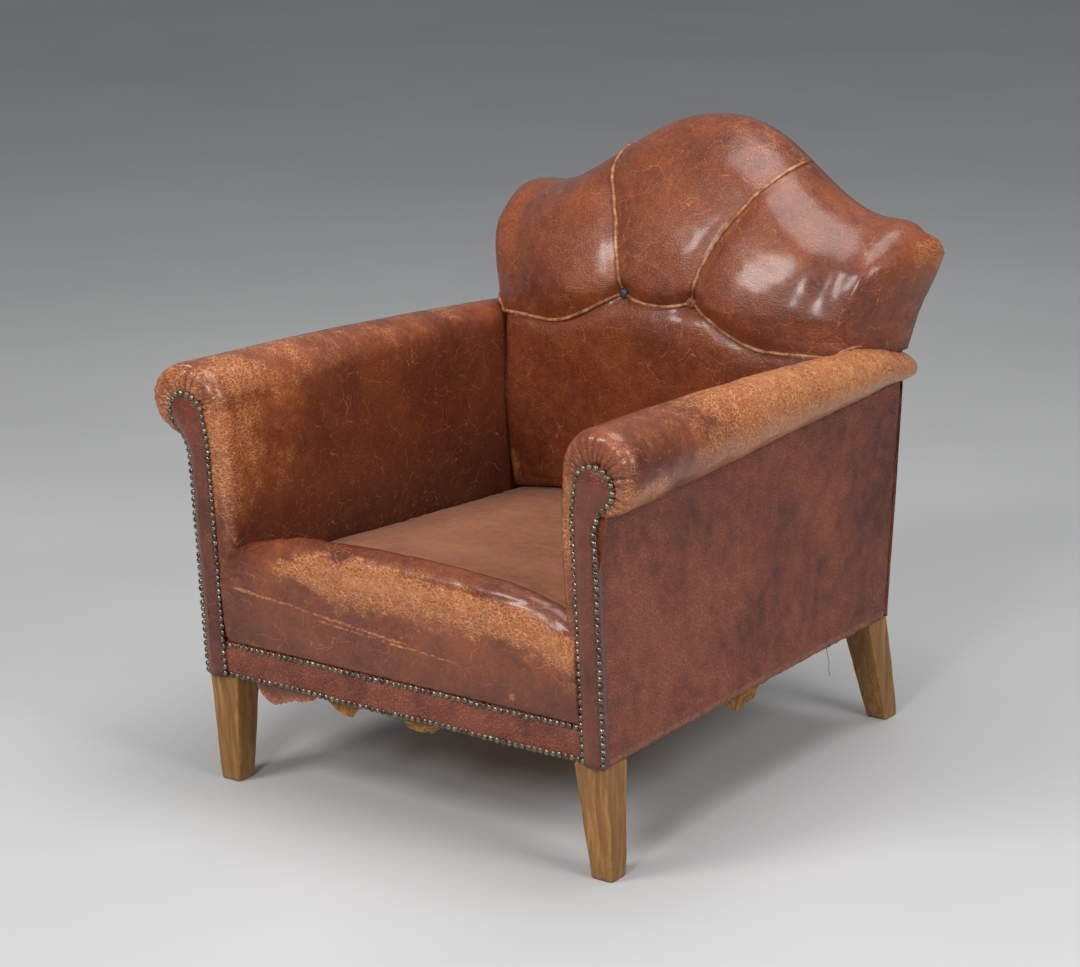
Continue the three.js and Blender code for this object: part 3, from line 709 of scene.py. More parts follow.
@dataclass
class Seat:
    """The seat's visible pieces: deck cloth, front roll, nailed band and its nails.

    The torn edge is given as (x, y) knots. A crease is (place, lean, depth). The face is the y in front
    of which the roll's leather can be seen and rubbed.
    """

    half_roll: float = 294.0
    face: float = -370.0
    rear_of_roll: float = -344.6
    torn_edge: tuple[tuple[float, float], ...] = (
        (-290, -352), (-230, -354), (-178, -352), (-112, -343), (-60, -322), (-37, -314), (20, -313),
        (70, -320), (157, -329), (220, -337), (290, -346),
    )
    deck_creases: tuple[tuple[float, float, float], ...] = (
        (-190, 0.22, 1.6), (-120, -0.3, 1.2), (30, 0.12, 1.3), (120, -0.2, 1.4),
    )
    roll_creases: tuple[tuple[float, float, float], ...] = (
        (322, 0.02, 0.9), (300, -0.11, 1.5), (352, 0.03, 0.7),
    )
    corner_folds: int = 7

    def build(self, cloth: Finish, hide: Finish, band: Finish, brass: Finish) -> None:
        """Makes the seat's pieces.

        Args:
            cloth: Finish of the deck.
            hide: Finish of the front roll.
            band: Finish of the band over the front rail.
            brass: Finish of the nails.
        """
        self.make_deck(cloth)
        self.make_roll(hide)
        self.make_band(band)
        for name, z, reach, node in (
            ("border_nail_heads", SEAT.border_top - 4.5, 290.0, "border_nails"),
            ("bottom_nail_heads", BODY.bottom + 4, 291.0, "bottom_nails"),
        ):
            x = np.linspace(-reach, reach, 60)
            path = np.column_stack([x, np.full(60, BODY.front + 0.2), z + 0.7 * np.sin(x / 37)])
            NailRow(name, int(reach)).build(BODY.lean(path), np.full(60, 0.25), brass, node)

    def make_deck(self, cloth: Finish) -> None:
        """The stuffed deck under its napped cloth, slack and faintly wrinkled."""
        half, front, rear = SEAT.half_deck, SEAT.deck_front, SEAT.deck_rear
        x, y = np.meshgrid(np.linspace(-half, half, 150), np.linspace(front, rear, 160), indexing="ij")
        flat = np.stack([x, y, np.zeros_like(x)], axis=-1)
        z = SEAT.deck_top(x, y) - 0.6 + 1.6 * Ripple(3, 190).at(flat) + 0.5 * Ripple(4, 60).at(flat)
        for at, lean, depth in self.deck_creases:
            over = y - at - lean * x - 9 * np.sin(x / 47 + at)
            z = z - depth * bell(over, 5) + 0.6 * depth * bell(over - 11, 7)
        for side in Side:
            over = x - side.value * (195 + 14 * np.sin(y / 60))
            z = z - 1.8 * bell(over, 6) + bell(over + side.value * 13, 9)
        edge = np.minimum(half - np.abs(x), np.minimum(y - front, rear - y))
        top = np.stack([x, y, z - 3 * bell(edge, 5)], axis=-1)
        under = np.full((len(top), 2, 3), SEAT.deck_under)
        under[..., 0], under[:, 0, 1], under[:, 1, 1] = x[:, :2], rear, front
        rings = np.concatenate([top, under], axis=1)
        piece = Piece("seat_deck_cloth", *shell(BODY.lean(rings))).outward()
        # painted shade: the cloth darkens towards the arms on both sides
        piece.mark("deep", 0.5 * ease(half - 49, half, np.abs(rings[..., 0])).ravel())
        piece.finish(cloth, "deck_cloth", "seat_deck")

    def make_roll(self, hide: Finish) -> None:
        """The leather roll along the front edge. Its torn rear edge lies ragged on the deck."""
        across = np.linspace(-self.half_roll, self.half_roll, 320)
        edge = np.column_stack([across, across * 0, across * 0])
        ragged = 6.5 * Ripple(8, 48).at(edge) + 4.5 * Ripple(9, 12).at(edge)
        sections = [self.roll_section(x, stray) for x, stray in zip(across, ragged)]
        plain = np.array([np.insert(section, 0, x, axis=1) for x, section in zip(across, sections)])
        normal = surface_normals(plain)
        if normal[len(across) // 2, 20, 1] > 0:
            normal = -normal
        rings = plain + normal * self.roll_lift(plain)[..., None]
        piece = Piece("seat_front_leather", *shell(BODY.lean(rings))).outward()
        self.mark_roll(piece, rings)
        piece.finish(hide, "leather", "seat_front_roll")

    def roll_section(self, x: float, stray: float) -> Array:
        """The roll's section at x as points (y, z).

        Args:
            x: Where the roll is cut.
            stray: How far its torn edge strays backward there.

        Returns:
            Points from the nailed edge up over the roll to the torn edge, then back along the hidden side.
        """
        front, top = BODY.front, float(SEAT.lip(x))
        torn = float(along(self.torn_edge, x)) + stray
        near, hem = float(SEAT.deck_top(x, -343.0)), float(SEAT.deck_top(x, torn))
        knots = [
            (front + 1, SEAT.border_top), (front - 2, 232), (front - 4.5, 262), (front - 5.5, 300),
            (front - 5, top - 42), (front - 2, top - 20), (front + 6, top - 7), (front + 16, top - 1),
            (front + 27, top), (front + 38, top - 5), (-345, max(near + 6, top - 16)),
            (-338, near + 4), (min(-330, torn - 5), near + 2.2), (torn, hem + 2.4),
        ]
        even = resample(np.array([(y, z, 0) for y, z in knots]), 2.4)
        share = np.linspace(0, 1, len(even))
        fine = np.column_stack([np.interp(np.linspace(0, 1, 90), share, even[:, k]) for k in (0, 1)])
        under = [(torn - 0.5, hem + 0.4), (self.rear_of_roll, near - 1.0), (self.rear_of_roll, 240)]
        under += [(front + 8, 238), (front + 8, 212)]
        return np.concatenate([smoothed(fine, 14), np.array(under)])

    def roll_lift(self, plain: Array) -> Array:
        """How far use and stuffing lift each point of the smooth roll along its normal."""
        x, y, z = np.moveaxis(plain, -1, 0)
        lift = 1.3 * Ripple(11, 150).at(plain) + 0.5 * Ripple(12, 40).at(plain)
        for at, lean, depth in self.roll_creases:
            over = z - at - lean * x - 3 * np.sin(x / 60 + at)
            lift += depth * (0.5 * bell(over - 6, 5) - bell(over, 2.2)) * (y < self.face)
        for k in range(self.corner_folds):
            right = z - (225 + 19 * k) + (0.4 + 0.05 * k) * (x - self.half_roll)
            left = z - (235 + 17 * k) - 0.4 * (x + self.half_roll)
            lift -= 0.5 * bell(right, 3) * ease(235, 285, x)
            lift -= 0.9 * bell(left, 3) * ease(-250, -288, x)
        lift[:, :3], lift[:, -6:] = 0, 0
        return lift

    def mark_roll(self, piece: Piece, rings: Array) -> None:
        """Stores where the roll is rubbed, scraped and chipped, and where painted shade darkens and roughens
        it.
        """
        x, y, z = np.moveaxis(rings, -1, 0)
        down, seen = SEAT.lip(x) - z, y < self.face + 4
        streak = Ripple(14, 60).at(rings * (0.35, 1, 3.2)) + Ripple(15, 24).at(rings * (0.3, 1, 2.5))
        crest = bell(down - 36, 19) * seen * np.clip(1 + 0.34 * streak, 0, 1.3)
        spread = ease(-260, -60, x) * mix(0.92, 0.46, ease(30, 200, x)) + 0.2
        spread = spread + 0.3 * bell(x - 272, 16) + 0.3 * bell(x, 90)
        below = 0.34 * bell(down - 62, 30) * ease(-200, -60, x) * seen
        scrape = 0.8 * bell(z - 297 + 0.09 * (x + 290), 1.5) * ease(-290, -240, x) * ease(60, -20, x)
        scrape += 0.7 * bell(z - 286 + 0.07 * (x + 290), 1.2) * ease(-190, -110, x) * ease(150, 60, x)
        chip = 2.2 * bell(np.hypot(x - 192, z - 229), 3.5)
        piece.mark("pale", (crest * spread + below + scrape + chip).ravel())
        # painted shade, with more roughness: where the roll turns down onto the deck, and a little low above
        # the band
        piece.mark("deep", (0.9 * ease(-374, -350, y) + 0.2 * ease(262, 225, z)).ravel())

    def make_band(self, band: Finish) -> None:
        """The pebbled band between the two rows of nails on the front rail."""
        reach = FACING.inner - 2.4
        x = np.linspace(-reach, reach, 120)
        section = [(9.5, 160), (2.2, 160), (0.4, 161.5), (0, 165), (-1.3, 176), (-1.6, 187), (-1.2, 198),
                   (0, 206), (0.6, 209.5), (3, 210.6), (9.5, 210.6)]
        rings = np.array([[(at, BODY.front + out, z) for out, z in section] for at in x])
        wave = 0.5 * Ripple(21, 70).at(rings)
        wave[:, [0, -1]] = 0
        rings[..., 1] += wave
        piece = Piece("front_border_leather", *shell(BODY.lean(rings))).outward()
        piece.mark("pale", np.zeros(wave.size))
        piece.finish(band, "panel_leather", "front_border")


# ---- Outside panels ----


@dataclass
class OutsidePanels:
    """The flat leather panels over the outside of the arms and the back.

    The outline of the back panel is given as (share of the height, half width) knots.
    """

    arm_face: float = 332.6
    arm_inner: float = 328.2
    arm_rear: float = 304.5
    arm_lower: float = 160.2
    arm_upper: tuple[float, float] = (491.5, 500.5)
    arm_creases: tuple[tuple[float, float], ...] = ((-250, 0.35), (-120, -0.2), (60, 0.15), (190, -0.3))
    back_face: float = 310.6
    back_inner: float = 306.0
    back_below_top: float = 33.0
    back_outline: tuple[tuple[float, float], ...] = (
        (0, 333), (0.52, 333), (0.62, 327), (0.71, 334), (0.8, 333), (0.9, 318),
    )

    def build(self, hide: Finish) -> None:
        """Makes the three panels in the given finish."""
        for side in Side:
            self.make_arm_panel(side, hide)
        self.make_back_panel(hide)

    def make_arm_panel(self, side: Side, hide: Finish) -> None:
        """One outside arm: a taut hide, a little hollow between the rails, with a frayed lower edge."""
        reach, height = np.linspace(BODY.front + 2.2, self.arm_rear, 170), np.linspace(0, 1, 84)
        y, share = np.meshgrid(reach, height, indexing="ij")
        flat = np.stack([y * 0, y, share * 300], axis=-1)
        fray = 0.9 * Ripple(30 + side.value, 14).at(flat) + 0.6 * Ripple(33, 45).at(flat)
        z = mix(self.arm_lower - np.clip(fray, -0.6, 1.5), mix(*self.arm_upper, ARM.backward(y)), share)
        taut = np.sin(math.pi * np.clip((y - BODY.front) / 700, 0, 1)) * np.sin(math.pi * share)
        x = self.arm_face - 1.6 * taut
        x = x + 0.55 * Ripple(31 + side.value, 130).at(flat) + 0.2 * Ripple(35, 40).at(flat)
        for at, lean in self.arm_creases:
            x = x - 0.5 * bell(y - at - lean * (z - 330), 4) * bell(z - 300, 120)
        edge = np.minimum(y - BODY.front - 2, self.arm_rear + 0.1 - y)
        x = x - 2.4 * (1 - ease(0, 5, edge)) - 1.4 * (1 - ease(0, 0.03, share))
        front = np.stack([x, y, z], axis=-1)
        back = front.copy()
        back[..., 0] = self.arm_inner
        rings = np.concatenate([front, back[:, ::-1]], axis=1)
        piece = Piece(f"outside_arm_leather_{side.word}", *shell(side.place(BODY.lean(rings)))).outward()
        rim = np.concatenate([(share < 0.03) * 0.4, np.zeros_like(share)], axis=1)
        piece.mark("pale", rim.ravel())
        piece.finish(hide, "panel_leather", f"outside_arm_{side.word}")

    def make_back_panel(self, hide: Finish) -> None:
        """The outside back, which follows the camel top a little below the rolled edge."""
        share, up = np.meshgrid(np.linspace(-1, 1, 150), np.linspace(0, 1, 140), indexing="ij")
        x = share * along(self.back_outline, up * 0.82)
        z = mix(BODY.bottom + 0.2, BACK.top(x) - self.back_below_top, up)
        flat = np.stack([x, z, x * 0], axis=-1)
        sag = 1.6 * (1 - np.abs(share) ** 3) * np.sin(math.pi * up)
        y = self.back_face - sag + 0.5 * Ripple(41, 140).at(flat) + 0.2 * Ripple(42, 45).at(flat)
        rim = np.minimum(1 - np.abs(share), np.minimum(up, 1 - up))
        outer = np.stack([x, y - 2.5 * (1 - ease(0, 0.02, rim)), z], axis=-1)
        inner = outer.copy()
        inner[..., 1] = self.back_inner
        rings = np.concatenate([outer, inner[:, ::-1]], axis=1)
        piece = Piece("outside_back_leather", *shell(BODY.lean(rings))).outward()
        piece.mark("pale", np.concatenate([(rim < 0.012) * 0.35, rim * 0], axis=1).ravel())
        piece.finish(hide, "panel_leather", "outside_back")


# ---- Back ----


@dataclass(frozen=True)
class BackForm:
    """The raked back: its camel top, its bulges and the seams that divide it.

    The face share is the part of the section below the top roll. The diagonal is the rising seam, as
    (height, x) knots. The flare is how the outline draws in below the ears, as (height, share) knots.
    """

    crown_top: float = 838.0
    shoulder_top: float = 722.0
    half_crown: float = 290.0
    half: float = 366.0
    corner: float = 57.0
    corner_drop: float = 44.0
    top_roll: float = 60.0
    side_roll: float = 52.0
    face_share: float = 0.66
    seam_gap: float = 0.4
    button_x: float = 59.0
    button_z: float = 601.0
    seam_middle: float = 592.0
    seam_low: float = 549.0
    seam_run: float = 141.0
    face_low: float = 214.0
    face_seam: float = 158.0
    wing: float = 64.0
    diagonal: tuple[tuple[float, float], ...] = (
        (601, 59), (650, 72), (700, 92), (745, 120), (786, 152), (830, 176), (900, 200),
    )
    flare: tuple[tuple[float, float], ...] = ((540, 0.925), (600, 0.945), (672, 1.0), (740, 1.0))

    def top(self, x: Array) -> Array:
        """Height of the top edge above x."""
        far = np.abs(np.asarray(x, float))
        share = np.minimum(1, far / self.half_crown) ** 1.12
        hump = 0.5 * (1 + np.cos(math.pi * share))
        corner = np.clip((far - (self.half - self.corner)) / self.corner, 0, 1)
        fall = 5 * (far / self.half) ** 6 + self.corner_drop * (1 - np.sqrt(1 - corner**2))
        return mix(self.shoulder_top, self.crown_top, hump) - fall

    def seam(self, x: Array) -> Array:
        """Height of the long seam: highest at the buttons, lowest halfway out to the arms."""
        far = np.abs(np.asarray(x, float))
        inner = mix(self.seam_middle, self.button_z, np.minimum(1, far / self.button_x) ** 2)
        share = np.clip((far - self.button_x) / self.seam_run, 0, 1)
        outer = mix(self.button_z, self.seam_low, np.sin(share * math.pi / 2) ** 1.2)
        return np.where(far < self.button_x, inner, outer - 0.05 * np.maximum(0, far - 260))

    def full(self, x: Array, z: Array) -> Array:
        """The plain front surface as a place in y, before the seams and buttons pull it in."""
        low = mix(self.face_low, self.face_seam, (np.clip(z - 300, 0, None) / 300) ** 0.8)
        high = mix(self.face_seam, self.face_low, (np.clip(z - self.button_z, 0, None) / 190) ** 1.5)
        wing = self.wing * (np.abs(x) / self.half) ** 3.4 * np.clip((z - 420) / 150, 0, 1)
        return np.where(z < self.button_z, low, high) + wing

    def pull(self, x: Array, z: Array, seed: int) -> Array:
        """How far the seams, the buttons and use pull the leather in.

        Args:
            x: Places across.
            z: Their heights.
            seed: Chooses the creases round the buttons.

        Returns:
            The depth at each place, in which a bulge is negative.
        """
        far = np.abs(x)
        away = z - self.seam(x)
        depth = 5.0 * bell(away, 17) * ease(300, 120, far) + 2.4 * bell(away, 12)
        depth = depth + 4.6 * bell(0.88 * (far - along(self.diagonal, z)), 17) * ease(590, 640, z)
        off_x, off_z = far - self.button_x, z - self.button_z
        reach, angle = np.hypot(off_x, off_z), np.arctan2(off_z, off_x)
        depth = depth + 9.0 * bell(reach, 17) + 4.0 * bell(reach, 42)
        dice = np.random.default_rng(seed)
        for _ in range(7):
            at, length = dice.uniform(-math.pi, math.pi), dice.uniform(18, 40)
            off = np.angle(np.exp(1j * (angle - at)))
            crease = bell(off * np.maximum(reach, 8), 4.2) * bell(reach, length) * ease(4, 16, reach)
            depth = depth + dice.uniform(0.4, 1.1) * crease
        wing_bulge = 8.0 * bell(np.hypot((far - 190) / 105, (z - 640) / 75), 1)
        crown_bulge = 7.0 * bell(np.hypot(x / 90, (z - 715) / 95), 1)
        ear_bulge = 9.0 * bell(np.hypot((far - 322) / 30, (z - 655) / 46), 1)
        hollow = 4.0 * bell(far - 272 - 0.3 * (z - 640), 26) * bell(z - 665, 80)
        lower_bulge = 4.0 * bell(np.hypot(x / 150, (z - 500) / 75), 1)
        return depth - wing_bulge - crown_bulge - ear_bulge + hollow - lower_bulge


BACK = BackForm()


@dataclass
class Back:
    """The padded back: lower pad, crown, two wings, welts and buttons."""

    seed: int = 61
    steps_up: int = 130
    half_lower: float = 283.0
    welt_radius: float = 2.6
    button_facets: int = 28
    button_dome: tuple[tuple[float, float], ...] = (
        (6.0, -2.0), (7.6, -0.4), (8.1, 1.0), (7.7, 2.4), (6.4, 3.8), (4.4, 4.8), (2.2, 5.3), (0.5, 5.4),
    )

    def build(self, hide: Finish, welt: Finish, dark: Finish) -> None:
        """Makes the back's pieces.

        Args:
            hide: Finish of the pads.
            welt: Finish of the welts and of the tan button.
            dark: Finish of the dark button.
        """
        self.make_lower(hide)
        self.make_crown(hide)
        for side in Side:
            self.make_wing(side, hide)
        self.make_welts(welt)
        self.make_button(Side.LEFT, dark, "button_dark")
        self.make_button(Side.RIGHT, welt, "worn_welt")

    def climb(self, x: Array, s: Array) -> tuple[Array, Array]:
        """Where a place up the section lies.

        Args:
            x: Places across.
            s: Places up the section: 0 at the long seam, 1 at the top of the roll behind the crest.

        Returns:
            Their heights, and their angles before the end of the roll (a right angle on the face).
        """
        top, foot = BACK.top(x), BACK.seam(x) + BACK.seam_gap
        over = np.clip((s - BACK.face_share) / (1 - BACK.face_share), 0, 1)
        turn = (math.pi / 2) * (1 - over)
        face = mix(foot, top - BACK.top_roll, np.clip(s / BACK.face_share, 0, 1))
        return np.where(s < BACK.face_share, face, top - BACK.top_roll * (1 - np.cos(turn))), turn

    def section(self, x: Array, s: Array) -> Array:
        """Points of the upper back.

        Args:
            x: Places across, before the outline flares.
            s: Places up the section: 0 at the long seam, 1 at the top of the roll behind the crest.

        Returns:
            Points of the upright box.
        """
        z, turn = self.climb(x, s)
        on_face = s < BACK.face_share
        rear = self.rear(x, ease(560, 650, z))
        y = mix(rear - 22, BACK.full(x, z), np.where(on_face, 1, np.sin(turn) ** 0.9))
        y = y + BACK.pull(x, z, self.seed) * np.where(on_face, 1, ease(0, 0.4, np.sin(turn)))
        side = np.clip((BACK.half - np.abs(x)) / BACK.side_roll, 0, 1)
        y = rear - (rear - y) * np.sqrt(np.clip(1 - (1 - side) ** 2, 0, 1)) ** 0.9
        spread = mix(1, along(BACK.flare, z), (np.abs(x) / BACK.half) ** 2)
        spot = np.stack([x * spread, y, z], axis=-1)
        coarse = 1.5 * Ripple(self.seed + 2, 120).at(spot) + 0.18 * Ripple(self.seed + 3, 34).at(spot)
        spot[..., 1] += coarse * side
        return spot

    def rear(self, x: Array, share: float | Array = 1.0) -> Array:
        """The rear of the pads at x as a place in y, with a share of the ears' push backward."""
        return BODY.rear - 7 + 18 * ease(344, 364, np.abs(x)) * share

    def diagonal_x(self, s: Array) -> Array:
        """Where the rising seam crosses a place up the section."""
        low, high = np.full_like(s, 40.0), np.full_like(s, 240.0)
        for _ in range(30):
            middle = (low + high) / 2
            past = along(BACK.diagonal, self.climb(middle, s)[0]) > middle
            low, high = np.where(past, middle, low), np.where(past, high, middle)
        return (low + high) / 2

    def close(self, front: Array) -> Array:
        """Adds the hidden rear of each ring: over the top, down the rear and under the foot."""
        last, foot = front[:, -1], front[:, 0]
        over, edge, low = last.copy(), last.copy(), foot.copy()
        over[:, 1], over[:, 2] = self.rear(last[:, 0]) - 8, last[:, 2] - 2.5
        edge[:, 1], edge[:, 2] = self.rear(last[:, 0]), last[:, 2] - 16
        low[:, 1] = BODY.rear - 7
        for ring in (over, edge, low):
            ring[:, 0] *= 1 - 0.018 * ease(330, 362, np.abs(last[:, 0]))
        inner = foot.copy()
        inner[:, 1] = mix(foot[:, 1], low[:, 1], 0.1)
        return np.concatenate([front, np.stack([over, edge, low, inner], axis=1)], axis=1)

    def dress(self, name: str, rings: Array, hide: Finish, node: str) -> None:
        """Turns rings of points into a finished pad of the back.

        Args:
            name: The pad's name.
            rings: Its points in the upright box.
            hide: Its finish.
            node: The solid that it stands for.
        """
        piece = Piece(name, *shell(BODY.lean(rings))).outward()
        x, z = rings[..., 0], rings[..., 2]
        far, upper = np.abs(x), z > BACK.button_z
        pale = 0.36 * bell(np.hypot((far - 362) / 12, (z - 680) / 30), 1) + 0.1 * bell(z - BACK.top(x), 22)
        pale += 0.13 * bell(np.hypot((x - 90) / 120, (z - 800) / 60), 1) * upper
        rising = np.where(z < BACK.button_z, np.inf, np.abs(far - along(BACK.diagonal, z)))
        seam = np.minimum(np.abs(z - BACK.seam(x)), rising)
        pale += 0.22 * bell(seam - 9, 6) * (0.5 + 0.5 * Ripple(71, 50).at(rings))
        pale += 0.55 * bell(np.hypot((x + 274) / 12, (z - 318) / 30), 1)
        button = np.hypot(far - BACK.button_x, z - BACK.button_z)
        # painted shade in the seams, in the dimples round the buttons and down the sides of the lower pad by
        # the arms
        deep = 0.55 * bell(seam, 7) + 0.5 * bell(button, 22) + 0.5 * ease(270, 284, far) * (z < 560)
        piece.mark("pale", pale.ravel())
        piece.mark("deep", deep.ravel())
        piece.finish(hide, "leather", node)

    def make_crown(self, hide: Finish) -> None:
        """The piece between the two rising seams."""
        s = np.linspace(0, 1, self.steps_up)
        reach = self.diagonal_x(s) - 0.35
        x = np.linspace(-1, 1, 150)[:, None] * reach[None, :]
        rings = self.section(x, np.broadcast_to(s, x.shape))
        self.dress("back_crown_leather", self.close(rings), hide, "back_crown")

    def make_wing(self, side: Side, hide: Finish) -> None:
        """One of the pieces outside the rising seams."""
        s = np.linspace(0, 1, self.steps_up)
        start = self.diagonal_x(s) + 0.35
        edge = 0.8 + 0.2 * np.sin(np.linspace(0, math.pi / 2, 36))
        u = np.concatenate([np.linspace(0, 0.8, 110, endpoint=False), edge])
        x = start[None, :] + u[:, None] * (BACK.half - start)[None, :]
        rings = self.section(x * side.value, np.broadcast_to(s, x.shape))
        self.dress(f"back_wing_leather_{side.word}", self.close(rings), hide, f"back_wing_{side.word}")

    def lower_front(self, x: Array, z: Array) -> Array:
        """The front of the lower pad as points of the upright box."""
        tuck, hem = (288 - np.abs(x)) / 24, (z - SEAT.deck_top(x, 240.0)) / 26
        turned = [1 - np.sqrt(np.clip(1 - (1 - np.clip(near, 0, 1)) ** 2, 0, 1)) for near in (tuck, hem)]
        y = BACK.full(x, z) + BACK.pull(x, z, self.seed)
        spot = np.stack([x, y + 20 * turned[0] + 16 * turned[1], z], axis=-1)
        spot[..., 1] += 1.2 * Ripple(66, 110).at(spot) + 0.3 * Ripple(67, 30).at(spot)
        return spot

    def make_lower(self, hide: Finish) -> None:
        """The pad between the arms, below the long seam."""
        u = np.linspace(-1, 1, 190)
        x = self.half_lower * np.sign(u) * (1 - (1 - np.abs(u)) ** 1.15)
        foot = SEAT.deck_top(x, 240.0) + 2.5
        rise = np.linspace(0, 1, self.steps_up)[None, :]
        z = foot[:, None] + rise * (BACK.seam(x) - BACK.seam_gap - foot)[:, None]
        rings = self.lower_front(np.broadcast_to(x[:, None], z.shape), z)
        hidden = rings[:, [-1, 0]]
        hidden[..., 1] = BODY.rear - 41
        self.dress("back_lower_leather", np.concatenate([rings, hidden], axis=1), hide, "back_lower")

    def make_welts(self, welt: Finish) -> None:
        """The corded welts over the seams, a little uneven and rubbed."""
        x = np.linspace(-338, 338, 420)
        spot = self.section(x, np.zeros_like(x))
        spot[:, 1] -= 0.6
        for at in np.flatnonzero(np.abs(x) > 262):
            roll = ARM.roll_top(spot[at, 0], min(float(spot[at, 1]), ARM.rear)) + self.welt_radius
            share = ease(262, 300, abs(x[at]))
            spot[at, 2] = max(spot[at, 2], mix(spot[at, 2], roll, share))
        spot[:, 1:] = smoothed(spot[:, 1:], 4)
        path = BODY.lean(spot)
        path[:, 2] += 0.35 * Ripple(81, 26).at(spot)
        behind_button = np.abs(np.abs(x) - BACK.button_x) <= 5
        radius = self.welt_radius + 0.2 * Ripple(82, 17).at(spot) - 0.4 * behind_button
        Piece("back_welt_leather_long", *tube(path, radius, 12)).finish(welt, "worn_welt", "back_welt_long")
        for side in Side:
            s = np.linspace(0.035, 1.0, 220)
            spot = self.section(self.diagonal_x(s) * side.value, s)
            spot[:, 1] -= 0.6 * np.clip(1.4 - s, 0, 1)
            spot[:, 2] += 1.2 * ease(0.7, 0.95, s)
            path = BODY.lean(spot) + 0.35 * Ripple(83 + side.value, 24).at(spot)[:, None]
            radius = self.welt_radius + 0.2 * Ripple(84, 17).at(spot)
            piece = Piece(f"back_welt_leather_{side.word}", *tube(path, radius, 12))
            piece.finish(welt, "worn_welt", f"back_welt_rising_{side.word}")

    def make_button(self, side: Side, hide: Finish, slot: str) -> None:
        """One covered button: a domed cap with a tucked rim.

        Args:
            side: The side of the chair.
            hide: Its finish.
            slot: The record's material slot.
        """
        spot = self.section(np.array([BACK.button_x * side.value]), np.array([0.0]))[0]
        centre = BODY.lean(spot) + (0, -1.2, 0)
        tilt = Matrix.Rotation(math.radians(-10), 3, "X")
        rings = []
        for reach, lift in self.button_dome:
            ring = []
            for k in range(self.button_facets):
                turn = 2 * math.pi * k / self.button_facets
                rough = 1 + 0.025 * math.sin(3 * turn + side.value) + 0.02 * math.sin(7 * turn)
                local = (reach * rough * math.cos(turn), -lift, reach * rough * math.sin(turn))
                ring.append(tuple(tilt @ Vector(local)))
            rings.append(ring)
        piece = Piece(f"back_button_leather_{side.word}", *shell(np.array(rings) + centre)).outward()
        piece.finish(hide, slot, f"back_button_{side.word}")


# ---- Legs, frame and underside ----


@dataclass
class Legs:
    """The four tapered legs, with rubbed edges. A place is the low corner (x, y) of a foot."""

    top_size: float = 48.0
    foot_size: float = 33.0
    height: float = 159.6
    steps: int = 44
    front_foot: tuple[float, float] = (298.0, BODY.front + 12)
    back_foot: tuple[float, float] = (291.0, 312.0)
    round_off: float = 1.9

    def build(self, wood: Finish) -> None:
        """Makes the legs in the given finish."""
        rear_edge = BODY.half_width * (1 - BODY.narrowing) - 2
        for side in Side:
            front_top = (BODY.half_width - 2 - self.top_size, BODY.front + 1)
            self.make_leg(f"front_leg_{side.word}", side, front_top, self.front_foot, wood)
            back_top = (rear_edge - self.top_size, BODY.rear - self.top_size - 1)
            self.make_leg(f"back_leg_{side.word}", side, back_top, self.back_foot, wood)

    def make_leg(self, node: str, side: Side, top: tuple[float, float], foot: tuple[float, float],
                 wood: Finish) -> None:
        """One leg: a square taper whose edges are worn round.

        Args:
            node: The solid that it stands for.
            side: The side of the chair.
            top: Low corner of its top.
            foot: Low corner of its foot.
            wood: Its finish.
        """
        worn = Ripple(len(node) * 7 + side.value, 38)
        rings, edges = [], []
        for step in range(self.steps + 1):
            share = step / self.steps
            inset = 1.0 if step in (0, self.steps) else 0.0
            size = mix(self.foot_size, self.top_size, share) - 2 * inset
            low = (mix(foot[0], top[0], share) + inset, mix(foot[1], top[1], share) + inset)
            ring, mark = self.leg_ring(worn, low, size, share)
            rings.append(ring)
            edges.append(mark)
        points = np.array(rings)
        piece = Piece(f"{node}_wood", *shell(side.place(points))).outward()
        piece.mark("rubbed", (np.array(edges) + 0.8 * ease(14, 0, points[..., 2])).ravel())
        piece.finish(wood, "leg_wood", node)

    def leg_ring(self, worn: Ripple, low: tuple[float, float], size: float,
                 share: float) -> tuple[list[Point], list[float]]:
        """One square section of a leg.

        Args:
            worn: How unevenly the edges are rounded.
            low: Its low corner.
            size: Its side.
            share: How far up the leg it lies.

        Returns:
            Its points, and how rubbed each of them is.
        """
        z = self.height * share
        corners = ((0, 0), (1, 0), (1, 1), (0, 1), (0, 0))
        ring, mark = [], []
        for corner in range(4):
            cx, cy = corners[corner]
            unevenness = 1 + 0.5 * float(worn.at([cx * 90.0, cy * 90.0, z]))
            radius = min(max((self.round_off + 1.8 * (1 - share) ** 6) * unevenness, 0.8), 4.0)
            middle_x = low[0] + cx * size + (radius if cx == 0 else -radius)
            middle_y = low[1] + cy * size + (radius if cy == 0 else -radius)
            for k in range(5):
                turn = math.pi * (1 + corner / 2) + math.pi / 2 * k / 4
                ring.append((middle_x + radius * math.cos(turn), middle_y + radius * math.sin(turn), z))
                mark.append(1.0 if k in (1, 2, 3) else 0.35)
            next_x, next_y = corners[corner + 1]
            for k in (0.2, 0.5, 0.8):
                ring.append((low[0] + size * mix(cx, next_x, k), low[1] + size * mix(cy, next_y, k), z))
                mark.append(0.0)
        return ring, mark


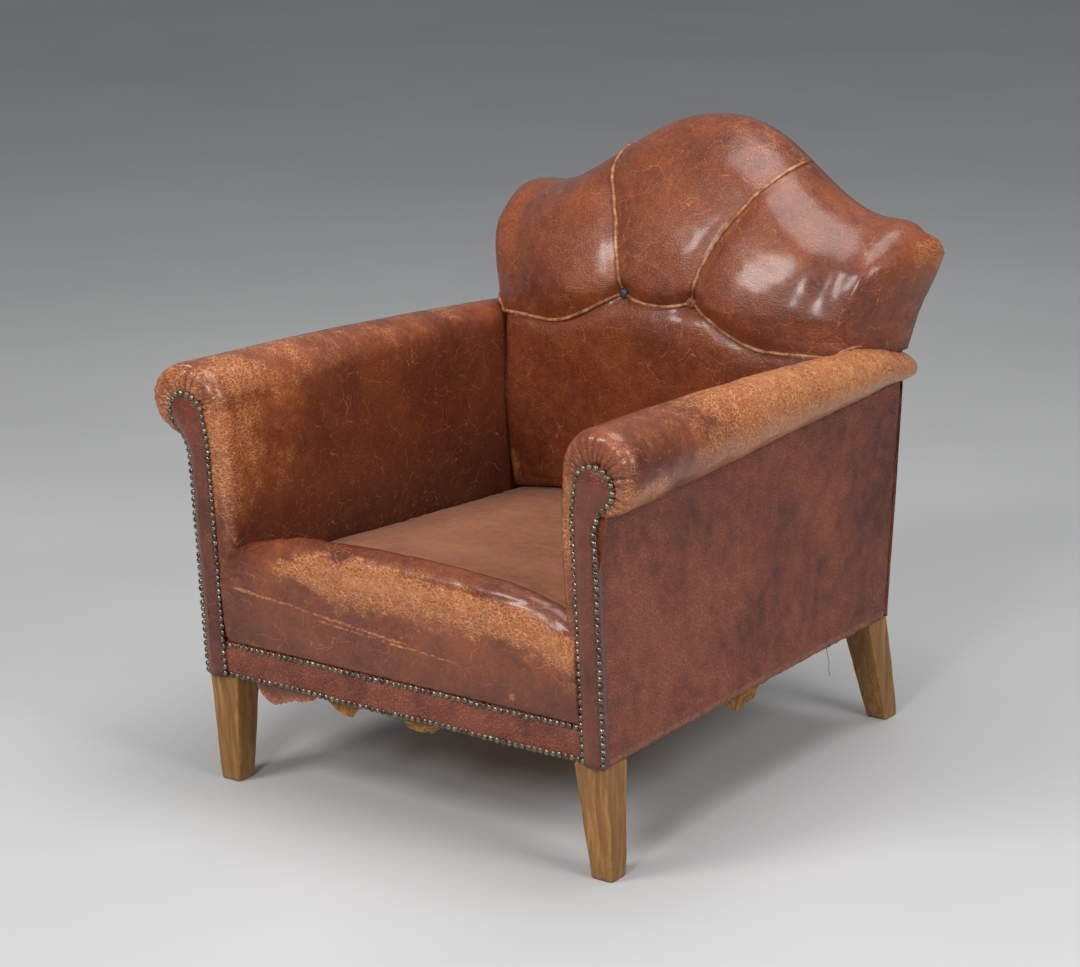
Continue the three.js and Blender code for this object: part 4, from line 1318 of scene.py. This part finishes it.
@dataclass
class Underside:
    """What hangs under the seat: the torn bottom cloth, scraps of leather and hessian, and a thread."""

    half_x: float = 282.0
    front: float = -380.0
    rear: float = 299.0
    lower_edge: float = 161.5
    thread_path: tuple[Point, ...] = (
        (323, 150, 163), (323.5, 150.5, 150), (326, 152, 138), (324.5, 153, 126), (326.5, 154, 116),
    )
    thread_size: float = 1.0

    def build(self, hessian: Finish, hide: Finish, thread: Finish) -> None:
        """Makes the underside's pieces.

        Args:
            hessian: Finish of the cloth.
            hide: Finish of the hanging leather.
            thread: Finish of the loose thread.
        """
        self.make_cloth(hessian)
        scraps = (
            ("torn_leather_front", hide, "leather", -262, -150, -385, 40, 5),
            ("torn_hessian_front_one", hessian, "jute", -128, -72, -386, 27, 7),
            ("torn_hessian_front_two", hessian, "jute", -8, 62, -386, 34, 9),
            ("torn_hessian_side", hessian, "jute", -96, -18, 322, 38, 11),
        )
        for name, look, slot, start, end, at, drop, seed in scraps:
            self.make_scrap(name, look, slot, start, end, at, drop, seed)
        self.make_thread(thread)

    def make_cloth(self, hessian: Finish) -> None:
        """The bottom cloth: one sheet, slack between the rails, with torn holes and ragged edges."""
        columns, rows = 120, 144
        x, y = np.meshgrid(np.linspace(-self.half_x, self.half_x, columns),
                           np.linspace(self.front, self.rear, rows), indexing="ij")
        flat = np.stack([x, y, x * 0], axis=-1)
        inside = np.minimum(self.half_x - np.abs(x), np.minimum(y - self.front, self.rear - y))
        sag = 5.5 * ease(0, 140, inside) + 1.6 * Ripple(91, 120).at(flat) * ease(0, 60, inside)
        z = self.lower_edge - 0.5 - np.clip(sag, -0.3, None)
        points = np.stack([x, y, z], axis=-1).reshape(-1, 3)
        rough = Ripple(92, 60).at(flat) * 16 + Ripple(93, 18).at(flat) * 6
        hole = np.hypot((x + 40) / 1.3, y + 250) + rough < 62
        hole |= np.hypot((x - 205) / 0.7, y - 10) + rough < 38
        kept = [(i, k) for i in range(columns - 1) for k in range(rows - 1) if not hole[i, k]]
        bases = [i * rows + k for i, k in kept]
        faces = [[base, base + rows, base + rows + 1, base + 1] for base in bases]
        piece = Piece("bottom_cloth_hessian", points, faces)
        piece.finish(hessian, "jute", "bottom_cloth")

    def make_scrap(self, name: str, look: Finish, slot: str, start: float, end: float, at: float,
                   drop: float, seed: int) -> None:
        """A torn scrap that hangs from the lower edge.

        Args:
            name: The piece's name.
            look: Its finish.
            slot: The record's material slot.
            start: Where it starts along the edge.
            end: Where it ends.
            at: The edge's y at the front, or its x on the right-hand side.
            drop: How far it hangs at most.
            seed: Chooses its ragged outline.
        """
        run, down = np.meshgrid(np.linspace(0, 1, 72), np.linspace(0, 1, 14), indexing="ij")
        spots = np.stack([run * (end - start), down * 0, run * 0], axis=-1)
        ragged = 0.7 + 0.2 * Ripple(seed, 46).at(spots) + 0.05 * Ripple(seed + 1, 12).at(spots)
        length = drop * np.clip(np.sin(math.pi * np.clip(run, 0.02, 0.98)) ** 0.45 * ragged, 0.06, 1)
        curl = 6 * down**2 * Ripple(seed + 2, 34).at(spots) + 4 * down
        place, z = mix(start, end, run), self.lower_edge - down * length
        on_side = at > 0
        points = np.stack([at - curl, place, z] if on_side else [place, at + curl, z], axis=-1)
        piece = Piece(name, *shell(points, close_ring=False, caps=False))
        piece.mark("pale", (down * 0.5).ravel())
        # painted shade: the scrap is darker towards the top, where it hangs under the seat
        piece.mark("deep", (0.2 * (1 - down)).ravel())
        piece.finish(look, slot)

    def make_thread(self, thread: Finish) -> None:
        """A loose end of tan thread under the right-hand side."""
        path = smoothed(resample(np.array(self.thread_path), 1.5), 8)
        piece = Piece("loose_thread", *tube(path, self.thread_size / 2, 6))
        length = float(np.linalg.norm(np.diff(path, axis=0), axis=1).sum()) * MM
        piece.finish(thread, "jute")


@dataclass
class InnerFrame:
    """The wooden frame, webbing, springs and spring cloth inside, which keep their measured shapes."""

    def build(self, wood: Finish, jute: Finish, steel: Finish) -> None:
        """Dresses the inner pieces.

        Args:
            wood: Finish of the rails, posts and corner blocks.
            jute: Finish of the webs and the spring cloth.
            steel: Finish of the springs.
        """
        for name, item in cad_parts.items():
            if item.hide_render:
                continue
            if name.startswith("web_") or name == "spring_hessian":
                look = jute
            elif name.startswith("spring_"):
                look = steel
            elif any(word in name for word in ("rail", "post", "corner_block")):
                look = wood
            else:
                LOG.warning("%s has no finish of its own", name)
                continue
            item.data.materials.clear()
            item.data.materials.append(look)
            LOG.info("%s dressed", name)


# ---- Finishes ----

Colour = tuple[float, float, float]
Socket = bpy.types.NodeSocket


class Recipe:
    """A material under construction, with short ways to add the layers of its finish."""

    def __init__(self, name: str) -> None:
        """Starts an empty material with a shader and a place in the object's own space."""
        self.material = bpy.data.materials.new(name)
        self.material.use_nodes = True
        self.tree = self.material.node_tree
        self.shader = self.tree.nodes["Principled BSDF"]
        self.place = self.add("ShaderNodeTexCoord").outputs["Object"]

    def add(self, kind: str, **settings: object) -> bpy.types.Node:
        """Adds a node of a kind with settings."""
        node = self.tree.nodes.new(kind)
        for key, value in settings.items():
            setattr(node, key, value)
        return node

    def feed(self, socket: Socket, value: Socket | float | Sequence[float]) -> None:
        """Links a socket to another one, or sets its number."""
        if isinstance(value, bpy.types.NodeSocket):
            self.tree.links.new(value, socket)
        else:
            socket.default_value = value

    def sum(self, kind: str, a: Socket | float, b: Socket | float = 0.0, clamp: bool = False) -> Socket:
        """A calculation with one or two numbers."""
        node = self.add("ShaderNodeMath", operation=kind, use_clamp=clamp)
        self.feed(node.inputs[0], a)
        self.feed(node.inputs[1], b)
        return node.outputs[0]

    def step(self, value: Socket, low: float, high: float) -> Socket:
        """A smooth step of a number from 0 at low to 1 at high."""
        node = self.add("ShaderNodeMapRange", interpolation_type="SMOOTHSTEP")
        node.inputs["From Min"].default_value, node.inputs["From Max"].default_value = low, high
        self.feed(node.inputs["Value"], value)
        return node.outputs["Result"]

    def blend(self, share: Socket | float, a: Socket | Colour, b: Socket | Colour) -> Socket:
        """Mixes two colours."""
        node = self.add("ShaderNodeMix", data_type="RGBA")
        self.feed(node.inputs[0], share)
        self.feed(node.inputs[6], a if isinstance(a, bpy.types.NodeSocket) else (*a, 1))
        self.feed(node.inputs[7], b if isinstance(b, bpy.types.NodeSocket) else (*b, 1))
        return node.outputs[2]

    def ramp(self, value: Socket, *stops: tuple[float, Colour]) -> Socket:
        """Colours a number by stops."""
        node = self.add("ShaderNodeValToRGB")
        ramp = node.color_ramp
        while len(ramp.elements) < len(stops):
            ramp.elements.new(0.5)
        for element, (at, colour) in zip(ramp.elements, stops):
            element.position, element.color = at, (*colour, 1)
        self.feed(node.inputs[0], value)
        return node.outputs[0]

    def stretched(self, scale: Sequence[float], place: Socket | None = None) -> Socket:
        """The object's space, or another one, stretched along its axes."""
        node = self.add("ShaderNodeMapping")
        node.inputs["Scale"].default_value = scale
        self.feed(node.inputs["Vector"], place or self.place)
        return node.outputs[0]

    def noise(self, scale: float, detail: float, rough: float = 0.55, place: Socket | None = None,
              twist: float = 0.0) -> Socket:
        """Cloudy unevenness between 0 and 1."""
        node = self.add("ShaderNodeTexNoise")
        self.feed(node.inputs["Vector"], place or self.place)
        for key, value in (("Scale", scale), ("Detail", detail), ("Roughness", rough), ("Distortion", twist)):
            node.inputs[key].default_value = value
        return node.outputs["Fac"]

    def cells(self, scale: float, feature: str, place: Socket) -> Socket:
        """Cells: the distance to each one's middle, or to the nearest border."""
        node = self.add("ShaderNodeTexVoronoi", feature=feature)
        self.feed(node.inputs["Vector"], place)
        node.inputs["Scale"].default_value = scale
        return node.outputs["Distance"]

    def mark(self, name: str) -> Socket:
        """A number stored on the piece by name."""
        return self.add("ShaderNodeAttribute", attribute_name=name).outputs["Fac"]

    def wobbled(self, scale: float, amount: float, place: Socket | None = None) -> Socket:
        """The object's space with its points shifted by cloudy unevenness."""
        cloud = self.add("ShaderNodeTexNoise")
        self.feed(cloud.inputs["Vector"], place or self.place)
        cloud.inputs["Scale"].default_value = scale
        shift = self.add("ShaderNodeVectorMath", operation="SCALE")
        self.feed(shift.inputs[0], cloud.outputs["Color"])
        shift.inputs["Scale"].default_value = amount
        total = self.add("ShaderNodeVectorMath", operation="ADD")
        self.feed(total.inputs[0], place or self.place)
        self.feed(total.inputs[1], shift.outputs[0])
        return total.outputs[0]

    def hairlines(self, scale: float, width: float, where: float, wander: float) -> Socket:
        """Long thin curved scratches, each one fading in and out.

        Args:
            scale: How many lie in a metre.
            width: Their width, as a share of their spacing.
            where: The threshold of the cloud that hides them; a higher one hides more.
            wander: How far they wander, in metres.

        Returns:
            1 on a scratch and 0 beside it.
        """
        space = self.wobbled(scale * 0.9, wander, self.wobbled(scale * 5, wander * 0.12))
        edge = self.cells(scale, "DISTANCE_TO_EDGE", space)
        line = self.sum("SUBTRACT", 1.0, self.step(edge, 0.0, width))
        cloud = self.noise(scale * 1.4, 5, 0.7)
        return self.sum("MULTIPLY", line, self.step(cloud, where, where + 0.09))

    def bump(self, height: Socket, depth: float, under: Socket | None = None) -> Socket:
        """A relief of a given depth in millimetres, on top of another one."""
        node = self.add("ShaderNodeBump")
        node.inputs["Distance"].default_value = depth * MM
        self.feed(node.inputs["Height"], height)
        if under is not None:
            self.feed(node.inputs["Normal"], under)
        return node.outputs[0]

    def done(self, colour: Socket, rough: Socket | float, relief: Socket | None,
             **settings: float) -> Finish:
        """Sets the shader and returns the material.

        Args:
            colour: The surface's colour.
            rough: Its roughness.
            relief: Its bumps.
            settings: Other numbers of the shader, by the socket's name with underscores for spaces.

        Returns:
            The finished material.
        """
        self.feed(self.shader.inputs["Base Color"], colour)
        self.feed(self.shader.inputs["Roughness"], rough)
        if relief is not None:
            self.feed(self.shader.inputs["Normal"], relief)
        for key, value in settings.items():
            self.shader.inputs[key.replace("_", " ")].default_value = value
        return self.material


@dataclass(frozen=True)
class PolishedHide:
    """Glossy old hide: mottled colour, fine scratches, crackle, pale patches where it is rubbed, and painted
    shade where a piece marks it.
    """

    name: str = "polished_hide"
    # the darkest colour: a stop of the mottled tone, and also the colour of the painted shade
    deep: Colour = (0.05, 0.0115, 0.006)
    mid: Colour = (0.155, 0.036, 0.0145)
    warm: Colour = (0.27, 0.068, 0.021)
    glow: Colour = (0.4, 0.115, 0.034)
    worn: Colour = (0.5, 0.185, 0.065)
    bare: Colour = (0.72, 0.37, 0.165)
    rough: float = 0.34

    def make(self) -> Finish:
        """Builds the finish."""
        r = Recipe(self.name)
        # pale marks rubbed wear; the second mark read here is painted shade in creases, seams and recesses
        pale, deep = r.mark("pale"), r.mark("deep")
        fine = r.noise(52, 7, 0.7)
        broad = r.sum("MULTIPLY", r.noise(6.5, 6, 0.62, twist=0.4), 0.6)
        tone = r.sum("ADD", broad, r.sum("MULTIPLY", fine, 0.4))
        colour = r.ramp(tone, (0.3, self.deep), (0.46, self.mid), (0.63, self.warm))
        speck = r.step(r.noise(260, 4, 0.7), 0.52, 0.68)
        colour = r.blend(r.sum("MULTIPLY", speck, 0.25), colour, self.deep)
        cloud = r.sum("SUBTRACT", r.noise(21, 8, 0.7), 0.5)
        grit = r.sum("SUBTRACT", r.noise(165, 6, 0.75), 0.5)
        rub = r.sum("ADD", pale, r.sum("ADD", r.sum("MULTIPLY", cloud, 0.9), r.sum("MULTIPLY", grit, 1.35)))
        marked = r.step(pale, 0.03, 0.22)
        haze = r.sum("MULTIPLY", r.step(r.sum("ADD", pale, r.sum("MULTIPLY", cloud, 1.4)), 0.12, 0.7), marked)
        colour = r.blend(r.sum("MULTIPLY", haze, 0.7), colour, self.glow)
        web = r.cells(165, "DISTANCE_TO_EDGE", r.wobbled(120, 0.012, r.stretched((0.75, 0.75, 1.45))))
        lines = r.sum("SUBTRACT", 1.0, r.step(web, 0.015, 0.11))
        colour = r.blend(r.sum("MULTIPLY", lines, r.sum("SUBTRACT", 0.32, marked)), colour, self.deep)
        reach = r.step(r.sum("ADD", pale, r.sum("MULTIPLY", cloud, 1.1)), 0.16, 0.5)
        crackle = r.sum("MULTIPLY", lines, r.sum("MULTIPLY", reach, 0.9))
        through = r.sum("MULTIPLY", r.step(rub, 0.75, 1.45), marked)
        bared = r.sum("MULTIPLY", r.sum("MAXIMUM", crackle, through), marked)
        tan = r.ramp(r.noise(75, 6, 0.7), (0.36, self.worn), (0.66, self.bare))
        colour = r.blend(r.sum("MULTIPLY", bared, 0.85), colour, tan)
        old = r.sum("MULTIPLY", r.hairlines(40, 0.035, 0.47, 0.02), r.step(pale, 0.75, 0.95))
        # painted shade from the piece's shade mark, together with dark old scratches where the hide is most
        # rubbed
        shade = r.sum("MULTIPLY", deep, r.step(fine, 0.2, 0.55))
        darker = r.sum("MAXIMUM", r.sum("MULTIPLY", shade, 0.8), r.sum("MULTIPLY", old, 0.7))
        colour = r.blend(darker, colour, self.deep)
        marks = r.sum("MAXIMUM", r.hairlines(21, 0.009, 0.46, 0.045), r.hairlines(52, 0.022, 0.52, 0.016))
        colour = r.blend(r.sum("MULTIPLY", marks, 0.6), colour, self.worn)
        relief = r.bump(r.cells(560, "F1", r.wobbled(90, 0.004)), 0.16)
        relief = r.bump(r.noise(48, 5, 0.55), 0.55, relief)
        relief = r.bump(r.step(web, 0.0, 0.25), 0.2, relief)
        gloss = r.sum("ADD", self.rough, r.sum("MULTIPLY", r.noise(24, 5, 0.6), 0.14))
        gloss = r.sum("ADD", gloss, r.sum("MULTIPLY", r.sum("MAXIMUM", bared, marks), 0.15))
        gloss = r.sum("ADD", gloss, r.sum("SUBTRACT", r.sum("MULTIPLY", deep, 0.2), 0.05), clamp=True)
        return r.done(colour, gloss, relief, Coat_Weight=0.38, Coat_Roughness=0.18, Specular_IOR_Level=0.32)


@dataclass(frozen=True)
class PebbledHide:
    """Matt hide with a strong pebble grain and light scuffs."""

    name: str = "pebbled_hide"
    dark: Colour = (0.1, 0.026, 0.016)
    mid: Colour = (0.225, 0.056, 0.03)
    warm: Colour = (0.31, 0.084, 0.042)
    scuff: Colour = (0.45, 0.2, 0.105)
    rough: float = 0.5

    def make(self) -> Finish:
        """Builds the finish."""
        r = Recipe(self.name)
        broad = r.sum("MULTIPLY", r.noise(5.5, 6, 0.6), 0.6)
        tone = r.sum("ADD", broad, r.sum("MULTIPLY", r.noise(45, 6, 0.65), 0.4))
        colour = r.ramp(tone, (0.39, self.dark), (0.5, self.mid), (0.6, self.warm))
        space = r.wobbled(70, 0.012)
        pebble, border = r.cells(190, "F1", space), r.cells(190, "DISTANCE_TO_EDGE", space)
        crease = r.step(border, 0.0, 0.2)
        colour = r.blend(r.sum("MULTIPLY", r.sum("SUBTRACT", 1.0, crease), 0.5), colour, self.dark)
        marks = r.sum("MAXIMUM", r.hairlines(14, 0.01, 0.54, 0.1), r.hairlines(60, 0.03, 0.6, 0.02))
        spots = r.sum("MULTIPLY", r.step(r.noise(30, 7, 0.75), 0.68, 0.76), 0.4)
        pale = r.sum("MULTIPLY", r.mark("pale"), r.step(r.noise(120, 5, 0.7), 0.35, 0.6))
        wear = r.sum("MAXIMUM", r.sum("MAXIMUM", r.sum("MULTIPLY", marks, 0.4), spots), pale)
        colour = r.blend(wear, colour, self.scuff)
        relief = r.bump(r.sum("SUBTRACT", 1.0, pebble), 1.3)
        relief = r.bump(crease, 0.45, relief)
        relief = r.bump(r.noise(26, 4, 0.6), 0.9, relief)
        gloss = r.sum("ADD", self.rough - 0.08, r.sum("MULTIPLY", r.noise(60, 4), 0.18))
        return r.done(colour, gloss, relief, Specular_IOR_Level=0.4)


@dataclass(frozen=True)
class RubbedWelt:
    """Thin leather over cord, rubbed through to its pale side."""

    name: str
    dark: Colour
    mid: Colour
    pale: Colour
    rough: float = 0.55

    def make(self) -> Finish:
        """Builds the finish."""
        r = Recipe(self.name)
        colour = r.ramp(r.noise(60, 7, 0.72), (0.36, self.dark), (0.5, self.mid), (0.64, self.pale))
        grime = r.step(r.noise(14, 3), 0.5, 0.66)
        colour = r.blend(r.sum("MULTIPLY", grime, 0.45), colour, self.dark)
        relief = r.bump(r.noise(900, 4, 0.6), 0.15)
        relief = r.bump(r.noise(140, 4, 0.6), 0.5, relief)
        return r.done(colour, self.rough, relief, Specular_IOR_Level=0.4)


@dataclass(frozen=True)
class NappedCloth:
    """The deck's tan-brown cloth with a short nap, faint weave and old stains."""

    name: str = "napped_cloth"
    dark: Colour = (0.15, 0.049, 0.021)
    mid: Colour = (0.235, 0.083, 0.036)
    light: Colour = (0.3, 0.115, 0.053)

    def make(self) -> Finish:
        """Builds the finish."""
        r = Recipe(self.name)
        broad = r.sum("MULTIPLY", r.noise(6, 5, 0.6), 0.5)
        tone = r.sum("ADD", broad, r.sum("MULTIPLY", r.noise(70, 7, 0.7), 0.5))
        colour = r.ramp(tone, (0.34, self.dark), (0.5, self.mid), (0.68, self.light))
        # painted shade from the piece's shade mark: darker towards the arms
        colour = r.blend(r.sum("MULTIPLY", r.mark("deep"), 0.6), colour, self.dark)
        warp = r.add("ShaderNodeTexWave", bands_direction="X")
        weft = r.add("ShaderNodeTexWave", bands_direction="Y")
        for node in (warp, weft):
            r.feed(node.inputs["Vector"], r.place)
            node.inputs["Scale"].default_value = 190
            node.inputs["Distortion"].default_value = 1.2
        weave = r.sum("MULTIPLY", warp.outputs["Fac"], weft.outputs["Fac"])
        nap = r.noise(1300, 4, 0.7)
        colour = r.blend(r.sum("MULTIPLY", r.step(nap, 0.5, 0.8), 0.3), colour, self.light)
        relief = r.bump(weave, 0.12)
        relief = r.bump(nap, 0.25, relief)
        relief = r.bump(r.noise(30, 5, 0.6), 0.8, relief)
        return r.done(colour, 0.92, relief, Sheen_Weight=0.06, Sheen_Roughness=0.5, Specular_IOR_Level=0.2)


@dataclass(frozen=True)
class Hessian:
    """Coarse plain-woven jute."""

    name: str = "hessian"
    dark: Colour = (0.09, 0.036, 0.012)
    light: Colour = (0.32, 0.155, 0.05)

    def make(self) -> Finish:
        """Builds the finish."""
        r = Recipe(self.name)
        waves = []
        for way in ("X", "Y"):
            node = r.add("ShaderNodeTexWave", bands_direction=way)
            r.feed(node.inputs["Vector"], r.wobbled(60, 0.003))
            node.inputs["Scale"].default_value = 105
            node.inputs["Distortion"].default_value = 0.6
            waves.append(node.outputs["Fac"])
        weave = r.sum("MAXIMUM", waves[0], waves[1])
        tone = r.sum("ADD", r.sum("MULTIPLY", weave, 0.55), r.sum("MULTIPLY", r.noise(50, 6, 0.7), 0.5))
        colour = r.ramp(tone, (0.3, self.dark), (0.75, self.light))
        relief = r.bump(weave, 0.5)
        return r.done(colour, 0.95, r.bump(r.noise(900, 3), 0.2, relief), Specular_IOR_Level=0.2)


@dataclass(frozen=True)
class StainedWood:
    """Stained or raw wood with its grain along Z, rubbed pale on the edges."""

    name: str
    dark: Colour
    mid: Colour
    light: Colour
    rough: float = 0.42

    def make(self) -> Finish:
        """Builds the finish."""
        r = Recipe(self.name)
        space = r.stretched((1, 1, 0.055), place=r.wobbled(5, 0.03))
        rings = r.noise(130, 6, 0.62, space, 0.5)
        pores = r.noise(620, 3, 0.6, r.stretched((1, 1, 0.03)))
        colour = r.ramp(rings, (0.34, self.dark), (0.5, self.mid), (0.68, self.light))
        colour = r.blend(r.sum("MULTIPLY", r.step(pores, 0.56, 0.68), 0.55), colour, self.dark)
        colour = r.blend(r.sum("MULTIPLY", r.step(r.noise(14, 5, 0.6), 0.45, 0.72), 0.4), colour, self.dark)
        rubbed = r.sum("MULTIPLY", r.mark("rubbed"), r.step(r.noise(55, 6, 0.7), 0.4, 0.62))
        colour = r.blend(r.sum("MULTIPLY", rubbed, 0.75), colour, self.light)
        nicks = r.step(r.noise(120, 5, 0.75), 0.7, 0.76)
        colour = r.blend(r.sum("MULTIPLY", nicks, 0.6), colour, self.dark)
        relief = r.bump(r.sum("SUBTRACT", 1.0, pores), 0.12)
        relief = r.bump(r.sum("SUBTRACT", 1.0, nicks), 0.25, relief)
        gloss = r.sum("ADD", self.rough, r.sum("MULTIPLY", r.noise(40, 4), 0.2))
        return r.done(colour, gloss, relief, Specular_IOR_Level=0.45)


@dataclass(frozen=True)
class DullMetal:
    """Old metal with a dull film and, where it is marked, green tarnish."""

    name: str
    dark: Colour
    bright: Colour
    tarnish: Colour
    rough: float = 0.3

    def make(self) -> Finish:
        """Builds the finish."""
        r = Recipe(self.name)
        colour = r.ramp(r.noise(120, 5, 0.65), (0.35, self.dark), (0.62, self.bright))
        film = r.step(r.noise(95, 5, 0.7), 0.42, 0.62)
        green = r.sum("MULTIPLY", film, r.mark("green"))
        colour = r.blend(r.sum("MULTIPLY", green, 0.75), colour, self.tarnish)
        r.feed(r.shader.inputs["Metallic"], r.sum("SUBTRACT", 1.0, r.sum("MULTIPLY", green, 0.6)))
        gloss = r.sum("ADD", self.rough, r.sum("MULTIPLY", r.sum("ADD", r.noise(200, 4), green), 0.2))
        return r.done(colour, gloss, r.bump(r.noise(500, 4), 0.1), Specular_IOR_Level=0.5)


@dataclass(frozen=True)
class FloorPaint:
    """A plain pale studio floor."""

    name: str = "floor_paint"

    def make(self) -> Finish:
        """Builds the finish."""
        r = Recipe(self.name)
        colour = r.ramp(r.noise(1.3, 3), (0.3, (0.5, 0.5, 0.5)), (0.7, (0.54, 0.54, 0.54)))
        return r.done(colour, 0.75, None, Specular_IOR_Level=0.3)


# ---- Studio ----


@dataclass(frozen=True)
class Lamp:
    """A soft rectangular studio lamp that is aimed at the chair."""

    name: str
    at: Point
    size: float
    watts: float
    tint: Colour = (1.0, 1.0, 1.0)

    def light(self, target: Point) -> None:
        """Hangs the lamp and aims it at a point."""
        lamp = bpy.data.lights.new(self.name, "AREA")
        lamp.shape, lamp.size, lamp.energy, lamp.color = "SQUARE", self.size, self.watts, self.tint
        item = bpy.data.objects.new(self.name, lamp)
        item.location = self.at
        item.rotation_euler = (Vector(target) - Vector(self.at)).to_track_quat("-Z", "Y").to_euler()
        bpy.context.scene.collection.objects.link(item)


@dataclass
class Studio:
    """The camera, the lamps, the floor and the light all round. Its places are in metres."""

    camera_at: Point = (2.5062, -3.4275, 1.6344)
    right: Point = (0.8049, 0.5931, -0.0216)
    up: Point = (-0.1511, 0.2400, 0.9590)
    back: Point = (0.5739, -0.7686, 0.2827)
    lens: float = 106.5
    lamps: tuple[Lamp, ...] = (
        Lamp("key_lamp", (-1.0, -2.6, 2.8), 1.0, 58.0, (1.0, 0.99, 0.97)),
        Lamp("front_lamp", (0.9, -3.5, 2.3), 0.7, 52.0),
        Lamp("side_lamp", (3.0, -0.6, 2.3), 1.2, 50.0),
        Lamp("top_lamp", (0.3, 0.4, 3.2), 1.8, 52.0),
    )
    lamps_aim: Point = (0.0, 0.0, 0.42)
    all_round: Colour = (0.93, 0.96, 1.0)
    all_round_strength: float = 0.24
    floor_reach: float = 30.0

    def build(self) -> None:
        """Sets up the studio."""
        camera = bpy.data.cameras.new("camera")
        camera.sensor_fit, camera.sensor_width, camera.lens = "HORIZONTAL", 36.0, self.lens
        camera.clip_end = 60.0
        item = bpy.data.objects.new("camera", camera)
        pose = Matrix((self.right, self.up, self.back)).transposed().to_4x4()
        pose.translation = Vector(self.camera_at)
        item.matrix_world = pose
        bpy.context.scene.collection.objects.link(item)
        bpy.context.scene.camera = item
        for lamp in self.lamps:
            lamp.light(self.lamps_aim)
        bpy.context.scene.view_settings.view_transform = "Standard"
        world = bpy.context.scene.world or bpy.data.worlds.new("world")
        bpy.context.scene.world = world
        world.use_nodes = True
        background = world.node_tree.nodes["Background"].inputs
        background["Color"].default_value = (*self.all_round, 1)
        background["Strength"].default_value = self.all_round_strength
        mesh = bpy.data.meshes.new("studio_floor")
        far = self.floor_reach
        mesh.from_pydata([(-far, -far, 0), (far, -far, 0), (far, far, 0), (-far, far, 0)], [], [(0, 1, 2, 3)])
        floor = bpy.data.objects.new("studio_floor", mesh)
        bpy.context.scene.collection.objects.link(floor)
        floor.data.materials.append(FloorPaint().make())


# ---- The chair ----

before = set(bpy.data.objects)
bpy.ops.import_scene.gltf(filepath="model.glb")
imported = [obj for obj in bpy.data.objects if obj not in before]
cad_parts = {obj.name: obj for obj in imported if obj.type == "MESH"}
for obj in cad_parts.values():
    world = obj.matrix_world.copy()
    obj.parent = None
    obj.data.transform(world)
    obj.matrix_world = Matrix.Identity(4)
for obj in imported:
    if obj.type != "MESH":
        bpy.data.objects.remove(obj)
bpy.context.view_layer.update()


def main() -> None:
    """Builds the chair in order and reports each piece."""
    logging.basicConfig(level=logging.INFO, format="%(name)s: %(message)s")
    Studio().build()
    hide = PolishedHide().make()
    facing = PolishedHide(
        "facing_hide", mid=(0.12, 0.028, 0.014), warm=(0.2, 0.05, 0.02), worn=(0.34, 0.12, 0.05), rough=0.27,
    ).make()
    band = PebbledHide().make()
    welt = RubbedWelt("rubbed_welt", (0.12, 0.035, 0.014), (0.33, 0.12, 0.045), (0.56, 0.28, 0.13)).make()
    dark = RubbedWelt(
        "dark_button_hide", (0.012, 0.015, 0.019), (0.035, 0.043, 0.05), (0.11, 0.125, 0.135), 0.35,
    ).make()
    wood = StainedWood("stained_wood", (0.18, 0.076, 0.016), (0.25, 0.11, 0.025), (0.37, 0.19, 0.06)).make()
    beech = StainedWood("raw_beech", (0.3, 0.17, 0.08), (0.46, 0.29, 0.15), (0.6, 0.42, 0.25), 0.7).make()
    jute = Hessian().make()
    brass = DullMetal(
        "antique_brass", (0.05, 0.044, 0.034), (0.29, 0.25, 0.195), (0.125, 0.115, 0.048), 0.2,
    ).make()
    steel = DullMetal("spring_steel", (0.08, 0.07, 0.06), (0.25, 0.24, 0.23), (0.1, 0.05, 0.02), 0.4).make()
    left = ArmWear(
        seed=101,
        pale_ridge=((-400, 0.4), (-330, 0.38), (-150, 0.27), (120, 0.2), (310, 0.17)),
        pale_inside=((-400, 0.45), (-350, 0.34), (-290, 0.2), (-180, 0.08), (310, 0.0)),
        creases=((-310, 0.7, 0.12), (40, 0.5, -0.1), (236, 1.0, 0.2)),
        facing_creases=((238, 0.9), (252, 1.1)),
        sunk=8.0,
        spread=10.0,
    )
    right = ArmWear(
        seed=205,
        pale_ridge=(
            (-400, 0.2), (-340, 0.14), (-260, 0.2), (-170, 0.55), (-80, 1.0), (60, 1.25), (310, 1.3),
        ),
        outer_patch=(-352.0, 48.0, 1.0),
        pale_inside=((-400, 0.4), (-300, 0.25), (0, 0.2), (310, 0.2)),
        creases=((-60, 0.8, 0.12), (35, 1.2, -0.2), (120, 0.9, 0.25), (206, 1.3, 0.1), (262, 1.1, -0.1)),
        facing_creases=((331, -0.6),),
    )
    for side, wear in ((Side.LEFT, left), (Side.RIGHT, right)):
        Arm(side, wear).build(hide, facing, brass)
    Seat().build(NappedCloth().make(), hide, band, brass)
    OutsidePanels().build(band)
    Back().build(hide, welt, dark)
    Legs().build(wood)
    Underside().build(jute, hide, jute)
    InnerFrame().build(beech, jute, steel)


if __name__ == "__main__":
    main()
